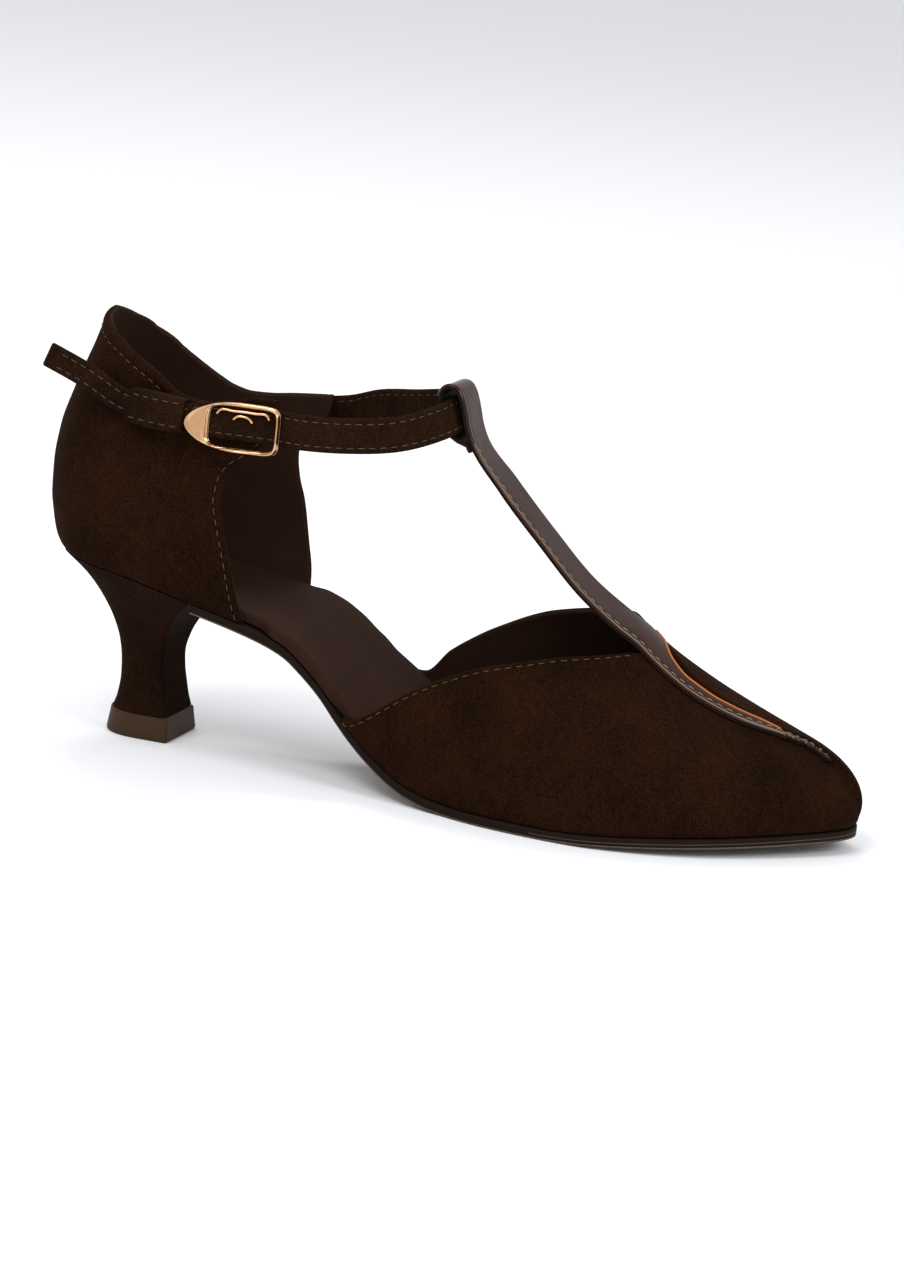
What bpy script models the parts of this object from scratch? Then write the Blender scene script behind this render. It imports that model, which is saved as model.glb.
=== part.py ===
"""A right ballroom dance shoe with a closed toe, a T-strap, a buckled ankle strap and a covered heel.

The shoe stands on the floor, z = 0, with its toe towards +X and the inner side of the foot towards +Y.
Every shape is worked out from the sizes and short tables below. All lengths are metres.
The shoe is modelled from a point behind its heel and then set over the middle of its own box.
"""
import math

import bmesh
import bpy
import numpy as np
from mathutils import Vector
from mathutils.bvhtree import BVHTree

# Driving dimensions of the last
SHOE_LENGTH = 0.240
BALL_WIDTH = 0.077
SEAT_WIDTH = 0.0508
SEAT_HEIGHT = 0.0515
COLLAR_HEIGHT = 0.1207
INSTEP_HEIGHT = 0.0565
TOE_SPRING = 0.0042

# Driving dimensions of the pieces
CLEARANCE = 0.0003
SOLE_THICKNESS = 0.0028
SOLE_EDGE = 0.0010
INSOLE_THICKNESS = 0.0032
QUARTER_WALL = 0.0022
VAMP_WALL = 0.0018
HEEL_TIP_HEIGHT = 0.0070
HEEL_TIP_WIDTH = 0.0226
HEEL_TIP_DEPTH = 0.0212
HEEL_NECK_WIDTH = 0.0186
STRAP_WIDTH = 0.0097
STRAP_THICKNESS = 0.0020
STRAP_END_WIDTH = 0.0071
T_STRAP_WIDTH = 0.0130
T_STRAP_THICKNESS = 0.0011
T_STRAP_TAIL = 0.0025
KEEPER_WALL = 0.0008
KEEPER_LENGTH = 0.0172
BUCKLE_LENGTH = 0.0280
BUCKLE_DROP = 0.0012
BUCKLE_HEIGHT = 0.0138
BUCKLE_WIRE = 0.0017
BUCKLE_THICKNESS = 0.0016
PRONG_WIRE = 0.0009

# Plan outline at the feather line, where the upper meets the sole.
# along and centre are shares of SHOE_LENGTH and BALL_WIDTH.
# Half the width is seat times SEAT_WIDTH plus ball times BALL_WIDTH.
OUTLINE_COLUMNS = ("along", "centre", "seat", "ball")
OUTLINE = (
    (0.0155, -0.006, 0.000, 0.000),
    (0.034, -0.006, 0.287, 0.000),
    (0.061, -0.006, 0.420, 0.000),
    (0.098, -0.004, 0.484, 0.000),
    (0.146, 0.000, 0.500, 0.000),
    (0.250, 0.000, 0.476, 0.000),
    (0.313, -0.003, 0.300, 0.106),
    (0.367, -0.006, 0.150, 0.209),
    (0.417, -0.008, 0.050, 0.305),
    (0.542, -0.014, 0.000, 0.419),
    (0.604, -0.020, 0.000, 0.466),
    (0.667, -0.020, 0.000, 0.490),
    (0.717, -0.017, 0.000, 0.497),
    (0.767, -0.007, 0.000, 0.478),
    (0.804, 0.004, 0.000, 0.449),
    (0.842, 0.021, 0.000, 0.406),
    (0.875, 0.038, 0.000, 0.355),
    (0.917, 0.060, 0.000, 0.270),
    (0.947, 0.073, 0.000, 0.192),
    (0.971, 0.082, 0.000, 0.119),
    (0.987, 0.088, 0.000, 0.000),
)

# Height of the feather line over the flat of the sole, on the outer and inner side of the foot,
# as shares of the heel seat's height over that flat.
ARCH_COLUMNS = ("along", "outer", "inner")
ARCH = (
    (0.000, 1.000, 1.000),
    (0.042, 0.994, 0.994),
    (0.083, 0.977, 0.977),
    (0.125, 0.947, 0.947),
    (0.167, 0.903, 0.905),
    (0.208, 0.854, 0.860),
    (0.250, 0.806, 0.834),
    (0.292, 0.750, 0.804),
    (0.325, 0.688, 0.753),
    (0.350, 0.602, 0.682),
    (0.375, 0.497, 0.587),
    (0.400, 0.373, 0.498),
    (0.425, 0.263, 0.406),
    (0.450, 0.173, 0.309),
    (0.475, 0.100, 0.209),
    (0.500, 0.047, 0.129),
    (0.533, 0.012, 0.048),
    (0.575, 0.000, 0.006),
    (0.617, 0.000, 0.000),
)

# Toe spring: how far the sole rises towards the toe, as a share of TOE_SPRING.
SPRING_COLUMNS = ("along", "rise")
SPRING = (
    (0.675, 0.00),
    (0.708, 0.08),
    (0.742, 0.20),
    (0.804, 0.44),
    (0.863, 0.63),
    (0.942, 0.86),
    (0.994, 1.00),
)

# Lean of the quarter's wall: how far it stands out from the feather line at its back and at its
# sides, as shares of SEAT_WIDTH. up is the height over the feather line, as a share of the back's.
LEAN_COLUMNS = ("up", "back", "side")
LEAN = (
    (0.000, 0.000, 0.000),
    (0.030, 0.035, 0.020),
    (0.070, 0.060, 0.039),
    (0.145, 0.083, 0.069),
    (0.235, 0.103, 0.083),
    (0.353, 0.106, 0.089),
    (0.505, 0.083, 0.085),
    (0.643, 0.028, 0.078),
    (0.754, -0.026, 0.068),
    (0.864, -0.081, 0.050),
    (1.000, -0.134, 0.020),
)

# Drawing in of the quarter's sides towards the collar, narrowest behind the ankle, as shares of
# SEAT_WIDTH at full height. It grows with the height over the feather line to this power.
PINCH_COLUMNS = ("along", "inward")
PINCH = (
    (0.0155, 0.125),
    (0.040, 0.155),
    (0.075, 0.162),
    (0.115, 0.146),
    (0.155, 0.105),
    (0.200, 0.066),
    (0.250, 0.040),
    (0.310, 0.020),
)
PINCH_POWER = 1.6

# Height of the collar round the quarter, on both sides, as shares of the way from the seat's
# height to COLLAR_HEIGHT. around is the way along the feather line as a share of SHOE_LENGTH.
COLLAR_COLUMNS = ("around", "outer", "inner")
COLLAR = (
    (0.000, 1.000, 1.000),
    (0.021, 0.992, 0.989),
    (0.046, 0.976, 0.970),
    (0.083, 0.951, 0.932),
    (0.129, 0.903, 0.861),
    (0.158, 0.857, 0.791),
    (0.190, 0.803, 0.719),
    (0.210, 0.760, 0.685),
    (0.233, 0.734, 0.669),
    (0.254, 0.729, 0.672),
    (0.287, 0.748, 0.688),
    (0.317, 0.772, 0.700),
    (0.346, 0.769, 0.711),
)

# Front edge of the quarter: how far forward it stands at each height.
# level is a share of COLLAR_HEIGHT, outer and inner are shares of SHOE_LENGTH.
FRONT_EDGE_COLUMNS = ("level", "outer", "inner")
FRONT_EDGE = (
    (0.308, 0.278, 0.288),
    (0.382, 0.267, 0.283),
    (0.472, 0.257, 0.271),
    (0.569, 0.243, 0.260),
    (0.622, 0.237, 0.252),
    (0.670, 0.240, 0.249),
    (0.705, 0.250, 0.251),
    (0.730, 0.266, 0.257),
    (0.754, 0.280, 0.270),
    (0.787, 0.290, 0.286),
    (0.828, 0.293, 0.291),
    (0.878, 0.293, 0.291),
)

# Ridge of the last over the instep and toes: its height as a share of INSTEP_HEIGHT and its place
# across as a share of BALL_WIDTH. Behind the throat it is where the walls would meet.
RIDGE_COLUMNS = ("along", "height", "across")
RIDGE = (
    (0.400, 1.380, 0.045),
    (0.460, 1.345, 0.045),
    (0.520, 1.290, 0.045),
    (0.583, 1.200, 0.045),
    (0.646, 1.085, 0.048),
    (0.706, 0.972, 0.052),
    (0.743, 0.862, 0.052),
    (0.789, 0.750, 0.058),
    (0.840, 0.640, 0.068),
    (0.890, 0.536, 0.078),
)
OUTER_ROUNDNESS = 1.70
INNER_ROUNDNESS = 2.10
TOE_FAN_START = 0.729
TOE_FAN = 0.104
OVERHANG = 0.0016
TOE_BULGE = 0.0017
TOE_FLATNESS = 0.22

# Top line of the vamp on both sides, as shares of INSTEP_HEIGHT.
TOP_LINE_COLUMNS = ("along", "outer", "inner")
TOP_LINE = (
    (0.404, 0.330, 0.375),
    (0.430, 0.375, 0.425),
    (0.457, 0.455, 0.545),
    (0.491, 0.560, 0.655),
    (0.528, 0.640, 0.750),
    (0.575, 0.720, 0.846),
    (0.623, 0.772, 0.904),
    (0.658, 0.802, 0.937),
    (0.687, 0.817, 0.954),
    (0.717, 0.832, 0.955),
)
VAMP_START = 0.408
THROAT = 0.738

# Leaf-shaped opening beside the T-strap's lower end. low and high are its edges across,
# as shares of BALL_WIDTH.
LEAF_COLUMNS = ("along", "low", "high")
LEAF = (
    (0.742, 0.050, 0.060),
    (0.752, 0.000, 0.056),
    (0.768, -0.050, 0.030),
    (0.790, -0.078, -0.006),
    (0.815, -0.078, -0.008),
    (0.842, -0.055, 0.010),
    (0.868, -0.015, 0.034),
    (0.888, 0.020, 0.050),
    (0.898, 0.040, 0.052),
)

# Heel from its tip up to the seat. up is the share of the way up, back and breast are shares of
# SHOE_LENGTH, half is the share of the way from half the neck's to half the seat's width.
HEEL_COLUMNS = ("up", "back", "breast", "half")
HEEL = (
    (0.000, 0.089, 0.168, 0.110),
    (0.080, 0.093, 0.165, 0.060),
    (0.190, 0.095, 0.162, 0.020),
    (0.300, 0.094, 0.159, 0.000),
    (0.430, 0.090, 0.157, 0.020),
    (0.560, 0.0815, 0.160, 0.110),
    (0.700, 0.067, 0.168, 0.320),
    (0.850, 0.046, 0.184, 0.640),
    (1.000, 0.0155, 0.208, 1.000),
)
HEEL_ROUNDNESS = 2.3
HEEL_NOSE = 0.62
BREAST = 0.208

# T-strap from the vamp's toe up to the ankle strap: its two edges across as shares of BALL_WIDTH,
# and their heights as shares of INSTEP_HEIGHT where it doesn't lie on the vamp.
# along, near, far, near_up and far_up of each row.
T_STRAP_FREE = (
    (0.545, -0.084, 0.084, 1.525, 1.560),
    (0.600, -0.084, 0.084, 1.290, 1.325),
    (0.653, -0.086, 0.084, 1.080, 1.120),
    (0.698, -0.090, 0.084, 0.948, 0.998),
)
T_STRAP_LAID_COLUMNS = ("along", "near", "far")
T_STRAP_LAID = (
    (0.728, -0.094, 0.080),
    (0.740, -0.098, 0.068),
    (0.750, -0.102, 0.020),
    (0.762, -0.107, -0.020),
    (0.785, -0.112, -0.050),
    (0.812, -0.104, -0.048),
    (0.842, -0.082, -0.026),
    (0.872, -0.040, 0.010),
    (0.900, 0.008, 0.036),
    (0.925, 0.042, 0.062),
    (0.950, 0.062, 0.078),
)

# Ankle strap from its end on the inner side, through the T-strap's loop, to the buckle.
# along, across and level are shares of SHOE_LENGTH, BALL_WIDTH and COLLAR_HEIGHT.
ANKLE_COLUMNS = ("along", "across", "level")
ANKLE_FRONT = (
    (0.310, 0.366, 0.792),
    (0.352, 0.305, 0.822),
    (0.408, 0.222, 0.845),
    (0.440, 0.176, 0.859),
    (0.468, 0.132, 0.867),
    (0.4815, 0.078, 0.871),
    (0.483, 0.000, 0.872),
    (0.482, -0.080, 0.870),
    (0.472, -0.180, 0.857),
    (0.438, -0.314, 0.833),
    (0.385, -0.390, 0.820),
    (0.340, -0.402, 0.814),
)
ANKLE_BACK_LEVEL = ((0.300, 0.810), (0.250, 0.809), (0.200, 0.807), (0.150, 0.809), (0.110, 0.817))
ANKLE_FREE_END = ((0.064, 0.858), (0.009, 0.897))
ANKLE_INNER_LEVEL = ((0.215, 0.769), (0.262, 0.777))
BUCKLE_FROM = 0.192
KEEPER_FROM = 0.118
NARROWING = 0.004


def column(table, columns, name):
    """One named column of a table, as an array."""
    return np.array([row[columns.index(name)] for row in table], dtype=float)


def smooth(places, values, at):
    """A cubic curve through the rows of a table that never swings past them, read at some places."""
    x = np.asarray(places, dtype=float)
    y = np.asarray(values, dtype=float)
    step = np.diff(x)
    slope = np.diff(y) / step
    tangent = np.zeros_like(y)
    both = slope[:-1] * slope[1:]
    mean = np.where(both > 0, 2.0 * both / np.where(both > 0, slope[:-1] + slope[1:], 1.0), 0.0)
    tangent[1:-1] = mean
    tangent[0] = 1.5 * slope[0] - 0.5 * tangent[1]
    tangent[-1] = 1.5 * slope[-1] - 0.5 * tangent[-2]
    at = np.clip(np.asarray(at, dtype=float), x[0], x[-1])
    i = np.clip(np.searchsorted(x, at) - 1, 0, len(x) - 2)
    t = (at - x[i]) / step[i]
    return (y[i] * (1 + 2 * t) * (1 - t) ** 2 + tangent[i] * step[i] * t * (1 - t) ** 2
            + y[i + 1] * t * t * (3 - 2 * t) - tangent[i + 1] * step[i] * t * t * (1 - t))


def through(points, count, begin=0):
    """A smooth curve through a few points, read at evenly spaced places from one of them on."""
    points = np.asarray(points, dtype=float)
    way = np.concatenate([[0.0], np.cumsum(np.linalg.norm(np.diff(points, axis=0), axis=1))])
    tangent = np.gradient(points, way, axis=0)
    at = np.linspace(way[begin], way[-1], count)
    i = np.clip(np.searchsorted(way, at) - 1, 0, len(way) - 2)
    step = (way[i + 1] - way[i])[:, None]
    t = ((at - way[i]) / (way[i + 1] - way[i]))[:, None]
    return (points[i] * (1 + 2 * t) * (1 - t) ** 2 + tangent[i] * step * t * (1 - t) ** 2
            + points[i + 1] * t * t * (3 - 2 * t) - tangent[i + 1] * step * t * t * (1 - t))


def ease(value):
    """A soft step from 0 to 1."""
    value = np.clip(value, 0.0, 1.0)
    return value * value * (3.0 - 2.0 * value)


# Outline of the last

OUTLINE_ALONG = column(OUTLINE, OUTLINE_COLUMNS, "along") * SHOE_LENGTH
OUTLINE_CENTRE = column(OUTLINE, OUTLINE_COLUMNS, "centre") * BALL_WIDTH
OUTLINE_HALF = (column(OUTLINE, OUTLINE_COLUMNS, "seat") * SEAT_WIDTH
                + column(OUTLINE, OUTLINE_COLUMNS, "ball") * BALL_WIDTH)
HEEL_BACK = OUTLINE_ALONG[0]
TOE_TIP = OUTLINE_ALONG[-1]


def half_width(x):
    """Half the outline's width. Its square is what runs smoothly, so both ends come out round."""
    return np.sqrt(np.maximum(smooth(OUTLINE_ALONG, OUTLINE_HALF ** 2, x), 0.0))


def centre_line(x):
    return smooth(OUTLINE_ALONG, OUTLINE_CENTRE, x)


def feather_height(x, y):
    """Height of the feather surface: the arch on each side, mixed across, plus the toe spring."""
    x = np.asarray(x, dtype=float)
    rise = SEAT_HEIGHT - SOLE_THICKNESS
    along = column(ARCH, ARCH_COLUMNS, "along") * SHOE_LENGTH
    outer = smooth(along, column(ARCH, ARCH_COLUMNS, "outer"), x)
    inner = smooth(along, column(ARCH, ARCH_COLUMNS, "inner"), x)
    half = np.maximum(half_width(x), 0.001)
    side = ease(0.5 + 0.5 * (y - centre_line(x)) / half)
    spring_along = column(SPRING, SPRING_COLUMNS, "along") * SHOE_LENGTH
    spring = smooth(spring_along, column(SPRING, SPRING_COLUMNS, "rise"), x)
    return SOLE_THICKNESS + rise * (outer * (1 - side) + inner * side) + TOE_SPRING * spring


class Side:
    """One side of the outline as a dense curve from the heel's back to the toe's tip."""

    def __init__(self, sign):
        self.sign = sign
        turn = np.linspace(0.0, math.pi, 721)
        self.x = HEEL_BACK + (TOE_TIP - HEEL_BACK) * 0.5 * (1 - np.cos(turn))
        self.y = centre_line(self.x) + sign * half_width(self.x)
        step = np.hypot(np.diff(self.x), np.diff(self.y))
        self.way = np.concatenate([[0.0], np.cumsum(step)])
        dx = np.gradient(self.x, self.way)
        dy = np.gradient(self.y, self.way)
        size = np.hypot(dx, dy)
        self.out_x = -sign * dy / size
        self.out_y = sign * dx / size

    def at_way(self, way):
        """Place and outward direction at some way along the outline from the heel's back."""
        return tuple(np.interp(way, self.way, values)
                     for values in (self.x, self.y, self.out_x, self.out_y))

    def way_of(self, x):
        return np.interp(x, self.x, self.way)


OUTER = Side(-1)
INNER = Side(1)
SIDE_NAME = {-1: "outer", 1: "inner"}


# Meshes

def finish(name, bm, material, sharp_angle=40.0):
    """Turn a bmesh into a named object with its material, closed and facing outwards."""
    bmesh.ops.remove_doubles(bm, verts=bm.verts, dist=2e-6)
    bmesh.ops.triangulate(bm, faces=bm.faces)
    bmesh.ops.recalc_face_normals(bm, faces=bm.faces)
    if bm.calc_volume(signed=True) < 0:
        bmesh.ops.reverse_faces(bm, faces=bm.faces)
    mesh = bpy.data.meshes.new(name)
    bm.to_mesh(mesh)
    bm.free()
    mesh.materials.append(material)
    mesh.shade_smooth()
    mesh.set_sharp_from_angle(angle=math.radians(sharp_angle))
    obj = bpy.data.objects.new(name, mesh)
    bpy.context.scene.collection.objects.link(obj)
    return obj


def grid_faces(bm, verts):
    rows = len(verts)
    columns = len(verts[0])
    for i in range(rows - 1):
        for j in range(columns - 1):
            ring = (verts[i][j], verts[i + 1][j], verts[i + 1][j + 1], verts[i][j + 1])
            bm.faces.new(ring)


def add_grid(bm, points):
    """Vertices of a grid of points, as rows of vertices, with its faces."""
    verts = [[bm.verts.new(point) for point in row] for row in points]
    grid_faces(bm, verts)
    return verts


def strip(bm, first, second):
    """Faces between two rows of vertices."""
    for i in range(len(first) - 1):
        bm.faces.new((first[i], first[i + 1], second[i + 1], second[i]))


def shell(outer, inner, open_top=None):
    """A closed wall between two grids. open_top marks the rows whose last points join in a ridge."""
    bm = bmesh.new()
    out_verts = add_grid(bm, outer)
    in_verts = add_grid(bm, inner)
    strip(bm, out_verts[0], in_verts[0])
    strip(bm, out_verts[-1], in_verts[-1])
    strip(bm, [row[0] for row in out_verts], [row[0] for row in in_verts])
    tops = [(row_out[-1], row_in[-1]) for row_out, row_in in zip(out_verts, in_verts)]
    for i in range(len(tops) - 1):
        if open_top is not None and open_top[i] and open_top[i + 1]:
            continue
        bm.faces.new((tops[i][0], tops[i + 1][0], tops[i + 1][1], tops[i][1]))
    return bm


def loft(rings):
    """A closed solid through rings of points, with both end rings filled."""
    bm = bmesh.new()
    verts = [[bm.verts.new(point) for point in ring] for ring in rings]
    for lower, upper in zip(verts[:-1], verts[1:]):
        strip(bm, lower + lower[:1], upper + upper[:1])
    bm.faces.new(verts[0])
    bm.faces.new(verts[-1])
    return bm


def normals(points):
    """Unit normals of a grid of points."""
    along = np.gradient(points, axis=0)
    across = np.gradient(points, axis=1)
    normal = np.cross(along, across)
    size = np.linalg.norm(normal, axis=2, keepdims=True)
    return normal / np.maximum(size, 1e-12)


def material(name, colour, roughness, metallic=0.0):
    made = bpy.data.materials.new(name)
    made.use_nodes = True
    shader = made.node_tree.nodes["Principled BSDF"]
    shader.inputs["Base Color"].default_value = (*colour, 1.0)
    shader.inputs["Roughness"].default_value = roughness
    shader.inputs["Metallic"].default_value = metallic
    made.diffuse_color = (*colour, 1.0)
    return made


# Sole, insole and heel

def edge_points(side, x, reach):
    """Points of one side of the outline at some stations, moved outwards by reach."""
    px, py, out_x, out_y = side.at_way(side.way_of(x))
    return px + out_x * reach, py + out_y * reach


def slab(name, stations, reach, lower, upper, material_made, across=6):
    """A closed slab on the outline: reach is how far it stands out, lower and upper are heights."""
    share = 0.5 + 0.5 * np.sin(np.linspace(-0.5 * math.pi, 0.5 * math.pi, across + 1))[None, :]
    outer_x, outer_y = edge_points(OUTER, stations, reach)
    inner_x, inner_y = edge_points(INNER, stations, reach)
    x = outer_x[:, None] * (1 - share) + inner_x[:, None] * share
    y = outer_y[:, None] * (1 - share) + inner_y[:, None] * share
    top = np.stack([x, y, upper(x, y)], axis=2)
    bottom = np.stack([x, y, lower(x, y)], axis=2)
    return finish(name, shell(top, bottom), material_made)


def closing_stations(start, end, count):
    """Places along the shoe, closer together towards its round end."""
    return start + (end - start) * np.sin(np.linspace(0.0, 0.5 * math.pi, count))


# Stretches of the sole's stations behind the toe, as shares of SHOE_LENGTH: the round seat ends at
# the first, and each further one runs up to a share in a number of even steps.
SEAT_END = 0.13
SOLE_STRETCHES = ((0.285, 5), (0.520, 19), (0.800, 8))

# Where the sole's edge begins to stand proud of the upper and over what share it does so.
PROUD_FROM = 0.40
PROUD_OVER = 0.15

# The open waist between quarter and vamp, where the insole widens, with its transition and the
# place where the wall round the insole changes from the quarter's to the vamp's.
WAIST_FROM = 0.292
WAIST_TO = 0.404
WAIST_EASE = 0.02
WALL_CHANGE = 0.35


def sole_stations():
    """Places along the sole, closest where the arch is steep and at the round ends."""
    heel_end = SEAT_END * SHOE_LENGTH
    runs = [HEEL_BACK + (heel_end - HEEL_BACK) * (1 - np.cos(np.linspace(0.0, 0.5 * math.pi, 9)))]
    for share, steps in SOLE_STRETCHES:
        runs.append(np.linspace(runs[-1][-1], share * SHOE_LENGTH, steps + 1)[1:])
    runs.append(closing_stations(runs[-1][-1], TOE_TIP, 13)[1:])
    return np.concatenate(runs)


def make_outsole(made):
    """The outsole from the heel's breast to the toe, flat under the ball and proud at the toe."""
    start = BREAST * SHOE_LENGTH + CLEARANCE
    stations = sole_stations()
    stations = np.concatenate([[start], stations[stations > start + 0.001]])
    reach = SOLE_EDGE * ease((stations / SHOE_LENGTH - PROUD_FROM) / PROUD_OVER)
    return slab("outsole", stations, reach, lambda x, y: feather_height(x, y) - SOLE_THICKNESS,
                feather_height, made)


def make_insole(made):
    """The padded insole inside the upper, wider through the open waist."""
    stations = sole_stations()
    share = stations / SHOE_LENGTH
    waist = ease((share - WAIST_FROM) / WAIST_EASE) * ease((WAIST_TO - share) / WAIST_EASE)
    wall = np.where(share < WALL_CHANGE, QUARTER_WALL, VAMP_WALL)
    reach = -(wall + 2.0 * CLEARANCE) * (1 - waist) - CLEARANCE * waist

    def upright(x, y, gap):
        """A height over the feather surface that leaves a gap square to its slope."""
        step = 0.004 * SHOE_LENGTH
        slope = (feather_height(x + step, y) - feather_height(x - step, y)) / (2.0 * step)
        return feather_height(x, y) + gap * np.sqrt(1 + slope ** 2)

    return slab("insole", stations, reach, lambda x, y: upright(x, y, CLEARANCE),
                lambda x, y: upright(x, y, CLEARANCE + INSOLE_THICKNESS), made)


def heel_ring(up, count):
    """One ring of the heel: round behind, straight sides and a flat front, as plan points."""
    share = column(HEEL, HEEL_COLUMNS, "up")
    back = smooth(share, column(HEEL, HEEL_COLUMNS, "back"), up) * SHOE_LENGTH
    front = smooth(share, column(HEEL, HEEL_COLUMNS, "breast"), up) * SHOE_LENGTH
    part = smooth(share, column(HEEL, HEEL_COLUMNS, "half"), up)
    half = 0.5 * (HEEL_NECK_WIDTH + (SEAT_WIDTH - HEEL_NECK_WIDTH) * part)
    nose = min(half, HEEL_NOSE * (front - back))
    turn = np.linspace(0.5 * math.pi, 0.0, count)
    power = 2.0 / HEEL_ROUNDNESS
    x = np.concatenate([[front], back + nose * (1 - np.cos(turn) ** power)])
    y = np.concatenate([[half], half * np.sin(turn) ** power])
    x = np.concatenate([x, x[-2::-1]])
    y = np.concatenate([y, -y[-2::-1]])
    return x, y


def seat_ring(count):
    """The heel's top edge, which is the outline itself behind the breast."""
    x, y = heel_ring(1.0, count)
    edge = np.minimum(x, BREAST * SHOE_LENGTH)
    edge = np.maximum(edge, HEEL_BACK)
    inner_x, inner_y, _, _ = INNER.at_way(INNER.way_of(edge))
    outer_x, outer_y, _, _ = OUTER.at_way(OUTER.way_of(edge))
    seat_y = np.where(y >= 0, inner_y, outer_y)
    middle = np.abs(y) < 1e-6
    seat_y = np.where(middle, centre_line(HEEL_BACK), seat_y)
    return edge, seat_y


def make_heel(made):
    """The covered heel: a narrow waisted neck that flares into the seat."""
    count = 11
    low = HEEL_TIP_HEIGHT + CLEARANCE
    top_x, top_y = seat_ring(count)
    top_z = feather_height(top_x, top_y)
    last_x, last_y = heel_ring(1.0, count)
    rings = []
    for up in (0.0, 0.10, 0.22, 0.36, 0.48, 0.59, 0.69, 0.78, 0.86, 0.93, 1.0):
        x, y = heel_ring(up, count)
        mix = ease((up - 0.5) / 0.5)
        x = x + (top_x - last_x) * mix
        y = y + (top_y - last_y) * mix
        rings.append(np.stack([x, y, low + (top_z - low) * up], axis=1))
    bm = bmesh.new()
    verts = [[bm.verts.new(point) for point in ring] for ring in rings]
    for lower, upper in zip(verts[:-1], verts[1:]):
        strip(bm, lower + lower[:1], upper + upper[:1])
    bm.faces.new(verts[0])
    half_count = len(verts[-1]) // 2
    inner = verts[-1][:half_count + 1]
    outer = verts[-1][:half_count - 1:-1]
    for i in range(half_count):
        if i == half_count - 1:
            bm.faces.new((inner[i], inner[i + 1], outer[i]))
        else:
            bm.faces.new((inner[i], inner[i + 1], outer[i + 1], outer[i]))
    return finish("heel", bm, made)


# The heel tip's shares of its height and how wide it is there.
HEEL_TIP_FLARE = ((0.0, 1.0), (0.12, 1.03), (1.0, 0.95))


def make_heel_tip(made):
    """The flared cap under the heel, flat on the floor."""
    count = 9
    middle = 0.5 * (HEEL[0][1] + HEEL[0][2]) * SHOE_LENGTH
    rings = []
    for share, grow in HEEL_TIP_FLARE:
        x, y = heel_ring(0.0, count)
        half = np.max(np.abs(y))
        x = middle + (x - 0.5 * (x.min() + x.max())) * grow * HEEL_TIP_DEPTH / (x.max() - x.min())
        y = y * grow * 0.5 * HEEL_TIP_WIDTH / half
        rings.append(np.stack([x, y, np.full_like(x, share * HEEL_TIP_HEIGHT)], axis=1))
    return finish("heel_tip", loft(rings), made)


# Upper

def flank_lean(x, up):
    """How far the wall stands out sideways: its lean, less the drawing in behind the ankle."""
    lean_up = column(LEAN, LEAN_COLUMNS, "up")
    side = smooth(lean_up, column(LEAN, LEAN_COLUMNS, "side"), up)
    along = column(PINCH, PINCH_COLUMNS, "along") * SHOE_LENGTH
    inward = smooth(along, column(PINCH, PINCH_COLUMNS, "inward"), x)
    return (side - inward * np.maximum(up, 0.0) ** PINCH_POWER) * SEAT_WIDTH


def quarter_wall(side, around, up_share):
    """Grid of one side of the quarter: around runs from the back, up_share from the feather line."""
    name = SIDE_NAME[side.sign]
    level = column(FRONT_EDGE, FRONT_EDGE_COLUMNS, "level") * COLLAR_HEIGHT
    front = column(FRONT_EDGE, FRONT_EDGE_COLUMNS, name) * SHOE_LENGTH
    collar_way = column(COLLAR, COLLAR_COLUMNS, "around") * SHOE_LENGTH
    collar_up = column(COLLAR, COLLAR_COLUMNS, name)
    rise = COLLAR_HEIGHT - SEAT_HEIGHT
    longest = side.way_of(front[-2])
    top = SEAT_HEIGHT + rise * smooth(collar_way, collar_up, around * longest)
    top = top[:, None] + 0.0 * up_share[None, :]
    z = SEAT_HEIGHT + (top - SEAT_HEIGHT) * up_share[None, :]
    for _ in range(6):
        reach = side.way_of(smooth(level, front, z))
        way = around[:, None] * reach
        x, y, out_x, out_y = side.at_way(way)
        foot = feather_height(x, y) + CLEARANCE
        z = foot + (top - foot) * up_share[None, :]
    up = (z - foot) / rise
    lean_up = column(LEAN, LEAN_COLUMNS, "up")
    back = smooth(lean_up, column(LEAN, LEAN_COLUMNS, "back"), up) * SEAT_WIDTH
    flank = flank_lean(x, up)
    return np.stack([x + out_x * back, y + out_y * flank, z], axis=2)


def quarter_grid(around_count=19, up_count=13):
    around = 1 - np.cos(np.linspace(0.0, 0.5 * math.pi, around_count))
    around = 0.45 * around + 0.55 * np.linspace(0.0, 1.0, around_count)
    up_share = np.linspace(0.0, 1.0, up_count)
    outer = quarter_wall(OUTER, around, up_share)
    inner = quarter_wall(INNER, around, up_share)
    return np.concatenate([outer[::-1], inner[1:]])


def thickened(grid, wall):
    """The inner face of a wall. Its lowest row keeps the height of the outer face's."""
    within = grid + normals(grid) * wall
    within[:, 0, 2] = grid[:, 0, 2]
    return within


def make_quarter(made):
    """The quarter: one wall from the outer side round the heel to the inner side."""
    grid = quarter_grid()
    return finish("upper_quarter", shell(grid, thickened(grid, QUARTER_WALL)), made, 50.0)


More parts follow.
